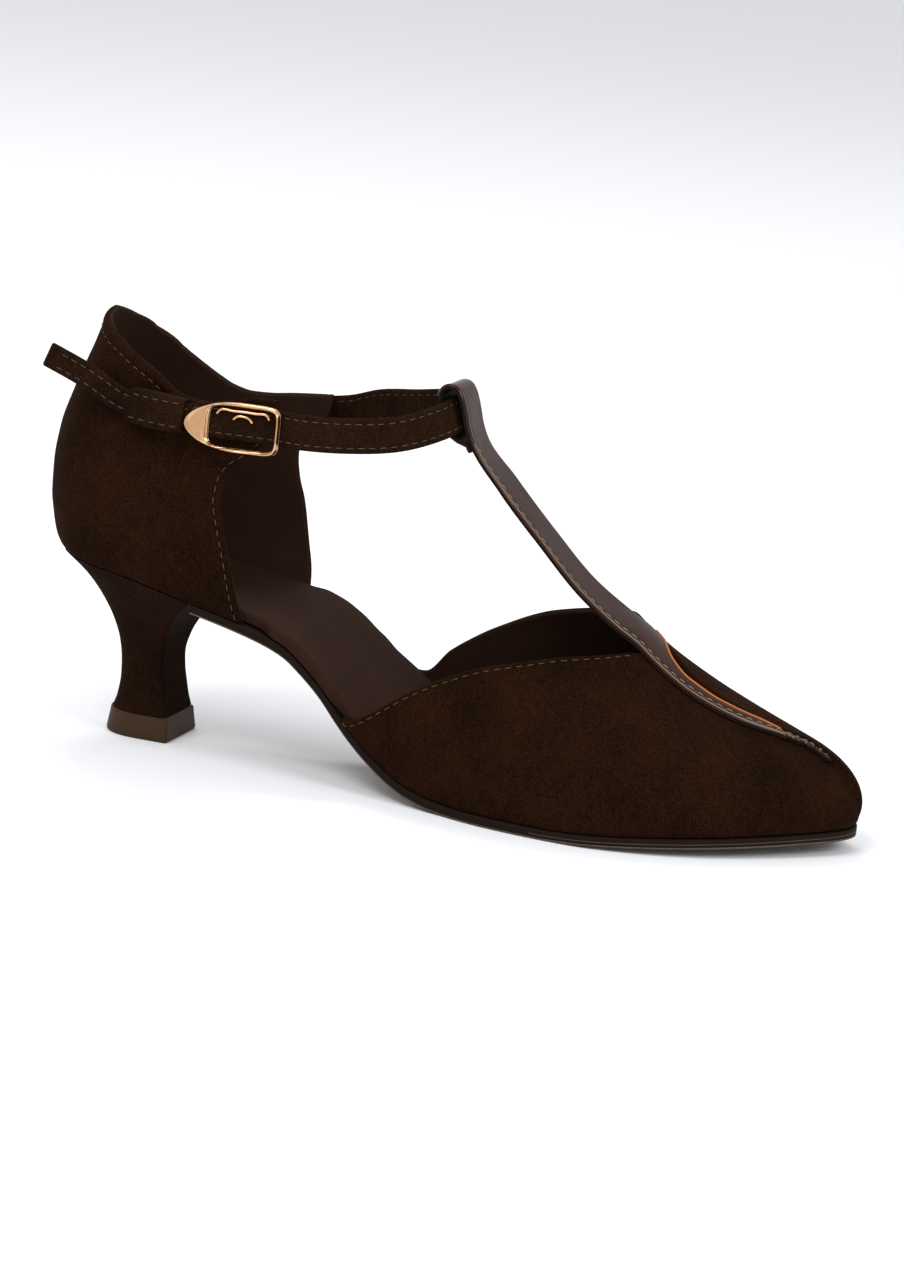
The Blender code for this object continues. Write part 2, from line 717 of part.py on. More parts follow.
def vamp_wall(side, x0, turn_share, whole=False):
    """Grid of one side of the vamp, from the feather line up towards the ridge."""
    name = SIDE_NAME[side.sign]
    full = OUTER_ROUNDNESS if side.sign < 0 else INNER_ROUNDNESS
    px, py, out_x, out_y = side.at_way(side.way_of(x0))
    foot = feather_height(px, py) + CLEARANCE
    fan = np.clip((x0 / SHOE_LENGTH - TOE_FAN_START) / (TOE_TIP / SHOE_LENGTH - TOE_FAN_START), 0, 1)
    roundness = full - TOE_FLATNESS * fan
    ridge_x = x0 - TOE_FAN * SHOE_LENGTH * fan ** 2
    ridge_y, ridge_z = ridge(ridge_x)
    turn_top = np.full_like(x0, 0.5 * math.pi)
    if not whole:
        along = column(TOP_LINE, TOP_LINE_COLUMNS, "along") * SHOE_LENGTH
        line = smooth(along, column(TOP_LINE, TOP_LINE_COLUMNS, name) * INSTEP_HEIGHT, x0)
        part = np.clip((line - foot) / (ridge_z - foot), 0.01, 1.0)
        turn_top = np.where(x0 >= THROAT * SHOE_LENGTH - 1e-7, turn_top,
                            np.arcsin(part ** (0.5 * roundness)))
    turn = turn_top[:, None] * turn_share[None, :]
    power = 2.0 / roundness[:, None]
    away = np.cos(turn) ** power
    up = np.sin(turn) ** power
    away = np.where(turn > 0.5 * math.pi - 1e-9, 0.0, away)
    share = turn / (0.5 * math.pi)
    proud = (OVERHANG + TOE_BULGE * fan[:, None]) * 6.75 * share * (1 - share) ** 2
    x = ridge_x[:, None] + (px - ridge_x)[:, None] * away + out_x[:, None] * proud
    y = ridge_y[:, None] + (py - ridge_y)[:, None] * away + out_y[:, None] * proud
    z = foot[:, None] + (ridge_z - foot)[:, None] * up
    return np.stack([x, y, z], axis=2)


def ridge(x):
    along = column(RIDGE, RIDGE_COLUMNS, "along") * SHOE_LENGTH
    return (smooth(along, column(RIDGE, RIDGE_COLUMNS, "across"), x) * BALL_WIDTH,
            smooth(along, column(RIDGE, RIDGE_COLUMNS, "height"), x) * INSTEP_HEIGHT)


def vamp_grid(up_count=13, before=13, beyond=15, whole=False):
    """The vamp's outer face from its outer start round the toe to its inner start."""
    throat = THROAT * SHOE_LENGTH
    start = VAMP_START * SHOE_LENGTH
    behind = np.linspace(start, throat, before)
    ahead = closing_stations(throat, TOE_TIP, beyond)
    x0 = np.concatenate([behind, ahead[1:]])
    share = np.linspace(0.0, 1.0, up_count) ** 1.15
    outer = vamp_wall(OUTER, x0, share, whole)
    inner = vamp_wall(INNER, x0, share, whole)
    grid = np.concatenate([outer, inner[-2::-1]])
    joined = [place >= throat - 1e-7 for place in x0]
    return grid, joined + joined[-2::-1]


class LastSurface:
    """The whole outer face of the last over instep and toes, to lay things on."""

    def __init__(self):
        grid, _ = vamp_grid(30, 30, 30, whole=True)
        rows, columns = grid.shape[:2]
        verts = [Vector(point) for point in grid.reshape(-1, 3)]
        faces = [(i * columns + j, (i + 1) * columns + j, (i + 1) * columns + j + 1, i * columns + j + 1)
                 for i in range(rows - 1) for j in range(columns - 1)]
        self.tree = BVHTree.FromPolygons(verts, faces)

    def drop(self, x, y):
        """Height and upward direction of the surface over a place in plan."""
        hit, normal, _, _ = self.tree.ray_cast(Vector((x, y, 1.0)), Vector((0.0, 0.0, -1.0)))
        if normal.z < 0:
            normal = -normal
        return np.array(hit), np.array(normal)


def make_vamp(made):
    """The vamp: one wall round the toe, open at the throat and underneath, with the leaf opening."""
    grid, joined = vamp_grid()
    within = grid - normals(grid) * VAMP_WALL
    within[:, 0, 2] = grid[:, 0, 2]
    count = grid.shape[0]
    for i in range(count // 2):
        if joined[i]:
            middle = 0.5 * (within[i, -1] + within[count - 1 - i, -1])
            within[i, -1] = middle
            within[count - 1 - i, -1] = middle
    obj = finish("upper_vamp", shell(grid, within, joined), made, 50.0)
    cutter = make_leaf_cutter()
    cut = obj.modifiers.new("leaf_opening", "BOOLEAN")
    cut.operation = "DIFFERENCE"
    cut.object = cutter
    return obj


def make_leaf_cutter():
    """An upright prism with the leaf opening's outline."""
    along = column(LEAF, LEAF_COLUMNS, "along") * SHOE_LENGTH
    low = column(LEAF, LEAF_COLUMNS, "low") * BALL_WIDTH
    high = column(LEAF, LEAF_COLUMNS, "high") * BALL_WIDTH
    x = np.concatenate([along, along[::-1]])
    y = np.concatenate([low, high[::-1]])
    rings = [np.stack([x, y, np.full_like(x, z)], axis=1)
             for z in (0.3 * INSTEP_HEIGHT, 1.2 * INSTEP_HEIGHT)]
    obj = finish("leaf_cutter", loft(rings), material("leaf_cutter", (0.5, 0.5, 0.5), 0.5))
    obj.hide_render = True
    obj.display_type = "WIRE"
    return obj


# Straps

def ribbon_shell(middle, width_way, outward, widths, thickness):
    """A flat ribbon with slightly rounded edges, as rings of eight points lofted along its middle."""
    rings = []
    for point, across, out, width in zip(middle, width_way, outward, widths):
        across = across / np.linalg.norm(across)
        out = out / np.linalg.norm(out)
        half = 0.5 * width
        thick = 0.5 * thickness
        round_off = 0.5 * thick
        corners = ((half, round_off), (half - round_off, thick), (-half + round_off, thick),
                   (-half, round_off), (-half, -round_off), (-half + round_off, -thick),
                   (half - round_off, -thick), (half, -round_off))
        rings.append([point + across * a + out * b for a, b in corners])
    return rings


def quarter_side_y(side, x, z):
    """How far out the quarter's outer face stands at a place on its side."""
    px, py, _, out_y = side.at_way(side.way_of(x))
    up = (z - feather_height(px, py)) / (COLLAR_HEIGHT - SEAT_HEIGHT)
    return float(py + out_y * flank_lean(px, up))


STRAP_OUT = 2.0 * CLEARANCE + KEEPER_WALL + CLEARANCE + 0.5 * STRAP_THICKNESS
# How far the strap leans inwards along the quarter and backwards at the loop, for each unit up.
WALL_SLOPE = 0.08
LOOP_LEAN = 0.38


def ankle_route():
    """Points of the ankle strap's middle from its inner end to its free end."""
    points = []
    for along, level in ANKLE_INNER_LEVEL:
        x = along * SHOE_LENGTH
        z = level * COLLAR_HEIGHT
        stand = CLEARANCE + 0.5 * STRAP_THICKNESS
        points.append((x, quarter_side_y(INNER, x, z) + stand, z))
    for along, across, level in ANKLE_FRONT:
        points.append((along * SHOE_LENGTH, across * BALL_WIDTH, level * COLLAR_HEIGHT))
    for along, level in ANKLE_BACK_LEVEL:
        x = along * SHOE_LENGTH
        z = level * COLLAR_HEIGHT
        points.append((x, quarter_side_y(OUTER, x, z) - STRAP_OUT, z))
    last = np.array(points[-1])
    way = last - np.array(points[-2])
    for along, level in ANKLE_FREE_END:
        x = along * SHOE_LENGTH
        y = last[1] + 0.35 * way[1] / way[0] * (x - last[0])
        points.append((x, y, level * COLLAR_HEIGHT))
    return points


class AnkleStrap:
    """The ankle strap's middle line with its upward and outward directions."""

    def __init__(self, count=60):
        self.middle = through(ankle_route(), count)
        along = np.gradient(self.middle, axis=0)
        along /= np.linalg.norm(along, axis=1, keepdims=True)
        lean = ease((self.middle[:, 0] / SHOE_LENGTH - 0.40) / 0.08)
        inward = -WALL_SLOPE * np.sign(self.middle[:, 1]) * (1 - lean)
        upright = np.stack([-LOOP_LEAN * lean, inward, np.ones(count)], axis=1)
        self.up = upright - along * np.sum(upright * along, axis=1, keepdims=True)
        self.up /= np.linalg.norm(self.up, axis=1, keepdims=True)
        self.along = along
        self.out = np.cross(self.up, along)

    def frame_at(self, x):
        """Middle, direction, upward and outward vectors at a place on the outer side."""
        side = self.middle[:, 1] < -0.25 * BALL_WIDTH
        order = np.argsort(self.middle[side][:, 0])
        places = self.middle[side][order][:, 0]
        read = [np.array([np.interp(x, places, values[side][order][:, k]) for k in range(3)])
                for values in (self.middle, self.along, self.up, self.out)]
        return [read[0]] + [value / np.linalg.norm(value) for value in read[1:]]


def make_ankle_strap(strap, made):
    """The strap round the ankle: from the inner side, through the loop and buckle, to its free end."""
    x = strap.middle[:, 0]
    free = ease((BUCKLE_FROM * SHOE_LENGTH + NARROWING - x) / NARROWING) * (strap.middle[:, 1] < 0)
    widths = STRAP_WIDTH + (STRAP_END_WIDTH - STRAP_WIDTH) * free
    rings = ribbon_shell(strap.middle, strap.up, strap.out, widths, STRAP_THICKNESS)
    return finish("ankle_strap", loft(rings), made, 30.0)


def make_keeper(strap, made):
    """The flat sleeve that holds the strap's free end against the quarter."""
    start = KEEPER_FROM * SHOE_LENGTH
    outer_rings = []
    inner_rings = []
    half = 0.5 * STRAP_END_WIDTH + CLEARANCE
    thick = 0.5 * STRAP_THICKNESS + CLEARANCE
    for share in np.linspace(0.0, 1.0, 8):
        point, _, up, out = strap.frame_at(start + KEEPER_LENGTH * share)
        hollow = ((half, thick), (-half, thick), (-half, -thick), (half, -thick))
        wall = KEEPER_WALL
        skin = [(math.copysign(half + wall, a), math.copysign(thick + wall, b)) for a, b in hollow]
        inner_rings.append([point + up * a + out * b for a, b in hollow])
        outer_rings.append([point + up * a + out * b for a, b in skin])
    bm = bmesh.new()
    outside = [[bm.verts.new(p) for p in ring] for ring in outer_rings]
    inside = [[bm.verts.new(p) for p in ring] for ring in inner_rings]
    for rings in (outside, inside):
        for lower, upper in zip(rings[:-1], rings[1:]):
            strip(bm, lower + lower[:1], upper + upper[:1])
    for k in (0, -1):
        strip(bm, outside[k] + outside[k][:1], inside[k] + inside[k][:1])
    return finish("strap_keeper", bm, made, 30.0)


def loop_rows(strap):
    """Edge points of the T-strap where it folds round the ankle strap, from its front downwards."""
    index = int(np.argmin(np.abs(strap.middle[:, 1]) + (strap.middle[:, 0] < 0.4 * SHOE_LENGTH)))
    centre = strap.middle[index]
    up = strap.up[index]
    out = strap.out[index]
    across = np.cross(up, out)
    across = across if across[1] > 0 else -across
    layer = 0.5 * (STRAP_THICKNESS + T_STRAP_THICKNESS) + CLEARANCE
    front = layer + 0.0004
    back = layer + 0.0009
    radius = 0.5 * (front + back)
    middle = 0.5 * (front - back)
    reach = 0.5 * STRAP_WIDTH
    fold = [(front + 0.0008, -reach - 0.0034), (front + 0.0001, -reach + 0.0004), (front, 0.0)]
    for turn in np.linspace(0.0, math.pi, 7):
        fold.append((middle + radius * math.cos(turn), reach + 0.0004 + radius * math.sin(turn)))
    fold += [(-layer - 0.0009, 0.0), (-layer - 0.0009, -reach + 0.0006), (-0.5 * layer, -reach - 0.0019)]
    half = 0.5 * T_STRAP_WIDTH
    return [np.concatenate([centre + out * a + up * b - across * half,
                            centre + out * a + up * b + across * half]) for a, b in fold]


def t_strap_rows(strap, surface, across=5):
    """Grid of the T-strap's middle face: laid on the vamp, then free, round the loop and back down."""
    along = column(T_STRAP_LAID, T_STRAP_LAID_COLUMNS, "along") * SHOE_LENGTH
    near = column(T_STRAP_LAID, T_STRAP_LAID_COLUMNS, "near") * BALL_WIDTH
    far = column(T_STRAP_LAID, T_STRAP_LAID_COLUMNS, "far") * BALL_WIDTH
    share = np.linspace(0.0, 1.0, across)
    lift = CLEARANCE + 0.5 * T_STRAP_THICKNESS
    rows = []
    for x in np.linspace(along[-1], along[0], 26):
        edge_near = float(smooth(along, near, x))
        edge_far = float(smooth(along, far, x))
        row = []
        for part in share:
            point, normal = surface.drop(x, edge_near + (edge_far - edge_near) * part)
            row.append(point + normal * lift)
        rows.append(row)
    before = [np.concatenate([rows[-2][0], rows[-2][-1]]), np.concatenate([rows[-1][0], rows[-1][-1]])]
    free = []
    for x, edge_near, edge_far, near_up, far_up in T_STRAP_FREE[::-1]:
        free.append(np.array((x * SHOE_LENGTH, edge_near * BALL_WIDTH, near_up * INSTEP_HEIGHT,
                              x * SHOE_LENGTH, edge_far * BALL_WIDTH, far_up * INSTEP_HEIGHT)))
    fold = loop_rows(strap)
    control = before + free + fold
    path = through(np.array(control), 64, 1)[1:]
    near_edge = path[:, :3]
    far_edge = path[:, 3:]
    middle = 0.5 * (near_edge + far_edge)
    along_way = np.gradient(middle, axis=0)
    normal = np.cross(along_way, far_edge - near_edge)
    normal /= np.linalg.norm(normal, axis=1, keepdims=True)
    tail_from = int(np.argmin(np.linalg.norm(middle - 0.5 * (fold[0][:3] + fold[0][3:]), axis=1)))
    step = np.linalg.norm(np.diff(middle, axis=0), axis=1)
    way = np.concatenate([[0.0], np.cumsum(step)])
    under = []
    behind = T_STRAP_THICKNESS + CLEARANCE
    inward = 1.0 if np.dot(normal[tail_from], strap.middle.mean(axis=0) - middle[tail_from]) > 0 else -1.0
    for i in range(tail_from, 0, -1):
        if way[tail_from] - way[i] > T_STRAP_TAIL:
            break
        under.append(np.concatenate([near_edge[i], far_edge[i]])
                     + inward * behind * np.concatenate([normal[i], normal[i]]))
    whole = list(path) + under[1:]
    for row in whole:
        rows.append([row[:3] + (row[3:] - row[:3]) * part for part in share])
    return np.array(rows)


def make_t_strap(strap, surface, made):
    """The patent T-strap: trim on the vamp, free ribbon over the instep and fold round the strap."""
    grid = t_strap_rows(strap, surface)
    side = normals(grid) * 0.5 * T_STRAP_THICKNESS
    return finish("t_strap", shell(grid + side, grid - side), made, 50.0)


# Buckle

def on_strap(strap, x, across, lift):
    """A point over the ankle strap's outer face, across its width and lifted off it."""
    point, _, up, out = strap.frame_at(x)
    if out[1] > 0:
        out = -out
    return point + up * (across - BUCKLE_DROP) + out * (0.5 * STRAP_THICKNESS + lift)


def power(value, exponent):
    return math.copysign(abs(value) ** exponent, value)


def make_buckle_frame(strap, made, count=36):
    """The wire-like frame: a window with round corners and a pointed head plate behind it."""
    start = BUCKLE_FROM * SHOE_LENGTH
    half_height = 0.5 * BUCKLE_HEIGHT
    window_half = 0.336 * BUCKLE_LENGTH
    window_x = BUCKLE_LENGTH - BUCKLE_WIRE - window_half
    outer = []
    window = []
    for k in range(count):
        turn = 2 * math.pi * (k + 0.5) / count
        c, s = math.cos(turn), math.sin(turn)
        window.append((window_x + window_half * power(c, 0.35),
                       (half_height - BUCKLE_WIRE) * power(s, 0.35)))
        if c >= 0:
            outer.append((window_x + (window_half + BUCKLE_WIRE) * power(c, 0.35),
                          half_height * power(s, 0.35)))
        else:
            outer.append((window_x - window_x * abs(c) ** 0.9, half_height * power(s, 1.15)))
    bm = bmesh.new()
    layers = []
    for lift in (CLEARANCE, CLEARANCE + BUCKLE_THICKNESS):
        layers.append([[bm.verts.new(on_strap(strap, start + a, b, lift)) for a, b in loop]
                       for loop in (outer, window)])
    for loops in layers:
        strip(bm, loops[0] + loops[0][:1], loops[1] + loops[1][:1])
    for low, high in zip(layers[0], layers[1]):
        strip(bm, low + low[:1], high + high[:1])
    return finish("buckle_frame", bm, made, 30.0)


def tube(points, radius, sides=8):
    """Rings of a round wire along a smooth path."""
    middle = through(points, 3 * len(points))
    along = np.gradient(middle, axis=0)
    rings = []
    for point, way in zip(middle, along):
        way = way / np.linalg.norm(way)
        first = np.cross(way, (0.0, 1.0, 0.0))
        first /= np.linalg.norm(first)
        second = np.cross(way, first)
        rings.append([point + radius * (first * math.cos(t) + second * math.sin(t))
                      for t in np.linspace(0.0, 2 * math.pi, sides, endpoint=False)])
    return rings


def make_buckle_wires(strap, made):
    """The thin bar with small hooks along the window's top, and the arched prong under it."""
    start = BUCKLE_FROM * SHOE_LENGTH
    lift = CLEARANCE + 0.5 * PRONG_WIRE
    high = 0.5 * BUCKLE_HEIGHT - BUCKLE_WIRE - CLEARANCE - 0.5 * PRONG_WIRE
    bar = ((0.320, high - 0.0014), (0.345, high - 0.0003), (0.50, high), (0.70, high),
           (0.845, high - 0.0003), (0.870, high - 0.0014))
    prong = ((0.49, high - 0.0024), (0.53, high - 0.0014), (0.59, high - 0.0012),
             (0.65, high - 0.0016), (0.69, high - 0.0028))
    made_objects = []
    for name, route in (("buckle_bar", bar), ("buckle_prong", prong)):
        points = [on_strap(strap, start + a * BUCKLE_LENGTH, b, lift) for a, b in route]
        made_objects.append(finish(name, loft(tube(points, 0.5 * PRONG_WIRE)), made, 60.0))
    return made_objects


def place_over_origin(pieces):
    """Hang every piece on one empty that sets the shoe over the middle of its own box."""
    corners = np.array([vertex.co for piece in pieces for vertex in piece.data.vertices])
    middle = 0.5 * (corners.min(axis=0) + corners.max(axis=0))
    stand = bpy.data.objects.new("shoe", None)
    bpy.context.scene.collection.objects.link(stand)
    stand.location = (-middle[0], -middle[1], 0.0)
    for obj in bpy.context.scene.objects:
        if obj is not stand:
            obj.parent = stand


def main():
    for obj in list(bpy.data.objects):
        bpy.data.objects.remove(obj, do_unlink=True)
    suede = material("suede", (0.020, 0.012, 0.009), 0.92)
    patent = material("patent", (0.012, 0.007, 0.006), 0.18)
    sock = material("sock", (0.018, 0.011, 0.008), 0.70)
    sole = material("sole", (0.030, 0.022, 0.018), 0.75)
    tip = material("tip", (0.060, 0.045, 0.036), 0.55)
    gold = material("gold", (0.85, 0.66, 0.50), 0.22, 1.0)
    strap = AnkleStrap()
    surface = LastSurface()
    pieces = [
        make_outsole(sole),
        make_insole(sock),
        make_heel(suede),
        make_heel_tip(tip),
        make_quarter(suede),
        make_vamp(suede),
        make_ankle_strap(strap, suede),
        make_keeper(strap, suede),
        make_t_strap(strap, surface, patent),
        make_buckle_frame(strap, gold),
    ]
    pieces += make_buckle_wires(strap, gold)
    place_over_origin(pieces)


main()
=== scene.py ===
"""Looks of a right ballroom dance shoe: suede upper and heel, patent T-strap and gilt buckle.

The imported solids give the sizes. Each piece here is worked out again as a fine surface from the same
few sizes and short tables, with its folded edges, stitches and finish, and stands for its solid.
All lengths are metres. The shoe is worked out from a point behind its heel, as its solids are, and
SHOE_AT then sets it where the solids stand.
"""
import math

import bmesh
import bpy
import numpy as np
from mathutils import Matrix, Vector


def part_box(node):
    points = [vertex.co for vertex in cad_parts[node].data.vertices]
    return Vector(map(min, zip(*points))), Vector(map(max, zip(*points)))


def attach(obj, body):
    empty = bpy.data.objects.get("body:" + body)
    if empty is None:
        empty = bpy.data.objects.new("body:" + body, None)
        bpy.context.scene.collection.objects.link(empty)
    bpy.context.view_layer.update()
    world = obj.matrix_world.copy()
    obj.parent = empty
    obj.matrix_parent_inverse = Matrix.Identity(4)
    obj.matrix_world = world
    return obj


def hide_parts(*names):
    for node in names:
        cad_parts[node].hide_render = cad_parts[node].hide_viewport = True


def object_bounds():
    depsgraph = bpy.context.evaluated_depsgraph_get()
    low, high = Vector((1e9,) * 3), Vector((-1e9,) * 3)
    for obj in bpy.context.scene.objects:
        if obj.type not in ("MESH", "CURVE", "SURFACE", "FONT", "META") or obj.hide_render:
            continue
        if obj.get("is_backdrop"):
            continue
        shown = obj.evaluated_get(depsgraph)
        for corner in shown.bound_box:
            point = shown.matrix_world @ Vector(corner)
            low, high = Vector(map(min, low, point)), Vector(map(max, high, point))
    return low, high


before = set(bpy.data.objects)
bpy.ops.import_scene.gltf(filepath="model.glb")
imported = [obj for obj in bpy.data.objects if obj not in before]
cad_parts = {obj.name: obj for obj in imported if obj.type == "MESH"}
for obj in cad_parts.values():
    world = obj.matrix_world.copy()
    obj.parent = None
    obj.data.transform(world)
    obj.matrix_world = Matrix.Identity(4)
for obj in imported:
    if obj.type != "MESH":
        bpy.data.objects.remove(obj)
solids_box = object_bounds()

# Driving dimensions of the last
SHOE_LENGTH = 0.240
BALL_WIDTH = 0.077
SEAT_WIDTH = 0.0508
SEAT_HEIGHT = 0.0515
COLLAR_HEIGHT = 0.1207
INSTEP_HEIGHT = 0.0565
TOE_SPRING = 0.0042

# Driving dimensions of the pieces
CLEARANCE = 0.0003
SOLE_THICKNESS = 0.0028
SOLE_EDGE = 0.0010
INSOLE_THICKNESS = 0.0032
QUARTER_WALL = 0.0022
VAMP_WALL = 0.0018
HEEL_TIP_HEIGHT = 0.0070
HEEL_TIP_WIDTH = 0.0226
HEEL_TIP_DEPTH = 0.0212
HEEL_NECK_WIDTH = 0.0186
STRAP_WIDTH = 0.0097
STRAP_THICKNESS = 0.0020
STRAP_END_WIDTH = 0.0071
T_STRAP_WIDTH = 0.0130
T_STRAP_THICKNESS = 0.0011
T_STRAP_TAIL = 0.0025
T_STRAP_FADE = 0.016
KEEPER_WALL = 0.0008
KEEPER_LENGTH = 0.0172
BUCKLE_LENGTH = 0.0280
BUCKLE_DROP = 0.0012
BUCKLE_HEIGHT = 0.0138
BUCKLE_WIRE = 0.0017
BUCKLE_THICKNESS = 0.0016
PRONG_WIRE = 0.0009


def cubic(values, tangent, i, step, t):
    """Between values i and i + 1, a step apart, the cubic that has their tangents, read at shares t."""
    return (values[i] * (1 + 2 * t) * (1 - t) ** 2 + tangent[i] * step * t * (1 - t) ** 2
            + values[i + 1] * t * t * (3 - 2 * t) - tangent[i + 1] * step * t * t * (1 - t))


def smooth(places, values, at):
    """A cubic curve through a table's rows that never swings past them: slopes are harmonic means."""
    x = np.asarray(places, dtype=float)
    y = np.asarray(values, dtype=float)
    step = np.diff(x)
    slope = np.diff(y) / step
    tangent = np.zeros_like(y)
    both = slope[:-1] * slope[1:]
    mean = np.where(both > 0, 2.0 * both / np.where(both > 0, slope[:-1] + slope[1:], 1.0), 0.0)
    tangent[1:-1] = mean
    tangent[0] = 1.5 * slope[0] - 0.5 * tangent[1]
    tangent[-1] = 1.5 * slope[-1] - 0.5 * tangent[-2]
    at = np.clip(np.asarray(at, dtype=float), x[0], x[-1])
    i = np.clip(np.searchsorted(x, at) - 1, 0, len(x) - 2)
    t = (at - x[i]) / step[i]
    return cubic(y, tangent, i, step[i], t)


class Table:
    """Rows of shares under named columns. The first column says where each row stands."""

    def __init__(self, columns, *rows):
        self.columns = columns.split()
        self.rows = np.array(rows)

    def __getitem__(self, name):
        return self.rows[:, self.columns.index(name)]

    def at(self, name, place):
        """A column as a smooth curve, read at some places."""
        return smooth(self.rows[:, 0], self[name], place)


# Plan outline at the feather line, where the upper meets the sole.
# along and centre are shares of SHOE_LENGTH and BALL_WIDTH.
# Half the width is seat times SEAT_WIDTH plus ball times BALL_WIDTH.
OUTLINE = Table(
    "along centre seat ball",
    (0.0155, -0.006, 0.000, 0.000),
    (0.034, -0.006, 0.287, 0.000),
    (0.061, -0.006, 0.420, 0.000),
    (0.098, -0.004, 0.484, 0.000),
    (0.146, 0.000, 0.500, 0.000),
    (0.250, 0.000, 0.476, 0.000),
    (0.313, -0.003, 0.300, 0.106),
    (0.367, -0.006, 0.150, 0.209),
    (0.417, -0.008, 0.050, 0.305),
    (0.542, -0.014, 0.000, 0.419),
    (0.604, -0.020, 0.000, 0.466),
    (0.667, -0.020, 0.000, 0.490),
    (0.717, -0.017, 0.000, 0.497),
    (0.767, -0.007, 0.000, 0.478),
    (0.804, 0.004, 0.000, 0.449),
    (0.842, 0.021, 0.000, 0.406),
    (0.875, 0.038, 0.000, 0.355),
    (0.917, 0.060, 0.000, 0.270),
    (0.947, 0.073, 0.000, 0.192),
    (0.971, 0.082, 0.000, 0.119),
    (0.987, 0.088, 0.000, 0.000),
)

# Height of the feather line over the flat of the sole, on the outer and inner side of the foot,
# as shares of the heel seat's height over that flat.
ARCH = Table(
    "along outer inner",
    (0.000, 1.000, 1.000),
    (0.042, 0.994, 0.994),
    (0.083, 0.977, 0.977),
    (0.125, 0.947, 0.947),
    (0.167, 0.903, 0.905),
    (0.208, 0.854, 0.860),
    (0.250, 0.806, 0.834),
    (0.292, 0.750, 0.804),
    (0.325, 0.688, 0.753),
    (0.350, 0.602, 0.682),
    (0.375, 0.497, 0.587),
    (0.400, 0.373, 0.498),
    (0.425, 0.263, 0.406),
    (0.450, 0.173, 0.309),
    (0.475, 0.100, 0.209),
    (0.500, 0.047, 0.129),
    (0.533, 0.012, 0.048),
    (0.575, 0.000, 0.006),
    (0.617, 0.000, 0.000),
)

# Toe spring: how far the sole rises towards the toe, as a share of TOE_SPRING.
SPRING = Table(
    "along rise",
    (0.675, 0.00),
    (0.708, 0.08),
    (0.742, 0.20),
    (0.804, 0.44),
    (0.863, 0.63),
    (0.942, 0.86),
    (0.994, 1.00),
)

# Lean of the quarter's wall: how far it stands out from the feather line at its back and at its
# sides, as shares of SEAT_WIDTH. up is the height over the feather line, as a share of the back's.
LEAN = Table(
    "up back side",
    (0.000, 0.000, 0.000),
    (0.030, 0.035, 0.020),
    (0.070, 0.060, 0.039),
    (0.145, 0.083, 0.069),
    (0.235, 0.103, 0.083),
    (0.353, 0.106, 0.089),
    (0.505, 0.083, 0.085),
    (0.643, 0.028, 0.078),
    (0.754, -0.026, 0.068),
    (0.864, -0.081, 0.050),
    (1.000, -0.134, 0.020),
)

# Drawing in of the quarter's sides towards the collar, narrowest behind the ankle, as shares of
# SEAT_WIDTH at full height. It grows with the height over the feather line to this power.
PINCH = Table(
    "along inward",
    (0.0155, 0.125),
    (0.040, 0.155),
    (0.075, 0.162),
    (0.115, 0.146),
    (0.155, 0.105),
    (0.200, 0.066),
    (0.250, 0.040),
    (0.310, 0.020),
)
PINCH_POWER = 1.6

# Height of the collar round the quarter, on both sides, as shares of the way from the seat's
# height to COLLAR_HEIGHT. around is the way along the feather line as a share of SHOE_LENGTH.
COLLAR = Table(
    "around outer inner",
    (0.000, 1.000, 1.000),
    (0.021, 0.992, 0.989),
    (0.046, 0.976, 0.970),
    (0.083, 0.951, 0.932),
    (0.129, 0.903, 0.861),
    (0.158, 0.857, 0.791),
    (0.190, 0.803, 0.719),
    (0.210, 0.760, 0.685),
    (0.233, 0.734, 0.669),
    (0.254, 0.729, 0.672),
    (0.287, 0.748, 0.688),
    (0.317, 0.772, 0.700),
    (0.346, 0.769, 0.711),
)

# Front edge of the quarter: how far forward it stands at each height.
# level is a share of COLLAR_HEIGHT, outer and inner are shares of SHOE_LENGTH.
FRONT_EDGE = Table(
    "level outer inner",
    (0.308, 0.278, 0.288),
    (0.382, 0.267, 0.283),
    (0.472, 0.257, 0.271),
    (0.569, 0.243, 0.260),
    (0.622, 0.237, 0.252),
    (0.670, 0.240, 0.249),
    (0.705, 0.250, 0.251),
    (0.730, 0.266, 0.257),
    (0.754, 0.280, 0.270),
    (0.787, 0.290, 0.286),
    (0.828, 0.293, 0.291),
    (0.878, 0.293, 0.291),
)

# Ridge of the last over the instep and toes: its height as a share of INSTEP_HEIGHT and its place
# across as a share of BALL_WIDTH. Behind the throat it is where the walls would meet.
RIDGE = Table(
    "along height across",
    (0.400, 1.380, 0.045),
    (0.460, 1.345, 0.045),
    (0.520, 1.290, 0.045),
    (0.583, 1.200, 0.045),
    (0.646, 1.085, 0.048),
    (0.706, 0.972, 0.052),
    (0.743, 0.862, 0.052),
    (0.789, 0.750, 0.058),
    (0.840, 0.640, 0.068),
    (0.890, 0.536, 0.078),
)
OUTER_ROUNDNESS = 1.70
INNER_ROUNDNESS = 2.10
TOE_FAN_START = 0.729
TOE_FAN = 0.104
OVERHANG = 0.0016
TOE_BULGE = 0.0017
TOE_FLATNESS = 0.22

# Top line of the vamp on both sides, as shares of INSTEP_HEIGHT.
TOP_LINE = Table(
    "along outer inner",
    (0.404, 0.330, 0.375),
    (0.430, 0.375, 0.425),
    (0.457, 0.455, 0.545),
    (0.491, 0.560, 0.655),
    (0.528, 0.650, 0.750),
    (0.575, 0.738, 0.846),
    (0.623, 0.795, 0.904),
    (0.658, 0.829, 0.937),
    (0.687, 0.845, 0.954),
    (0.717, 0.858, 0.955),
)
VAMP_START = 0.408
THROAT = 0.738

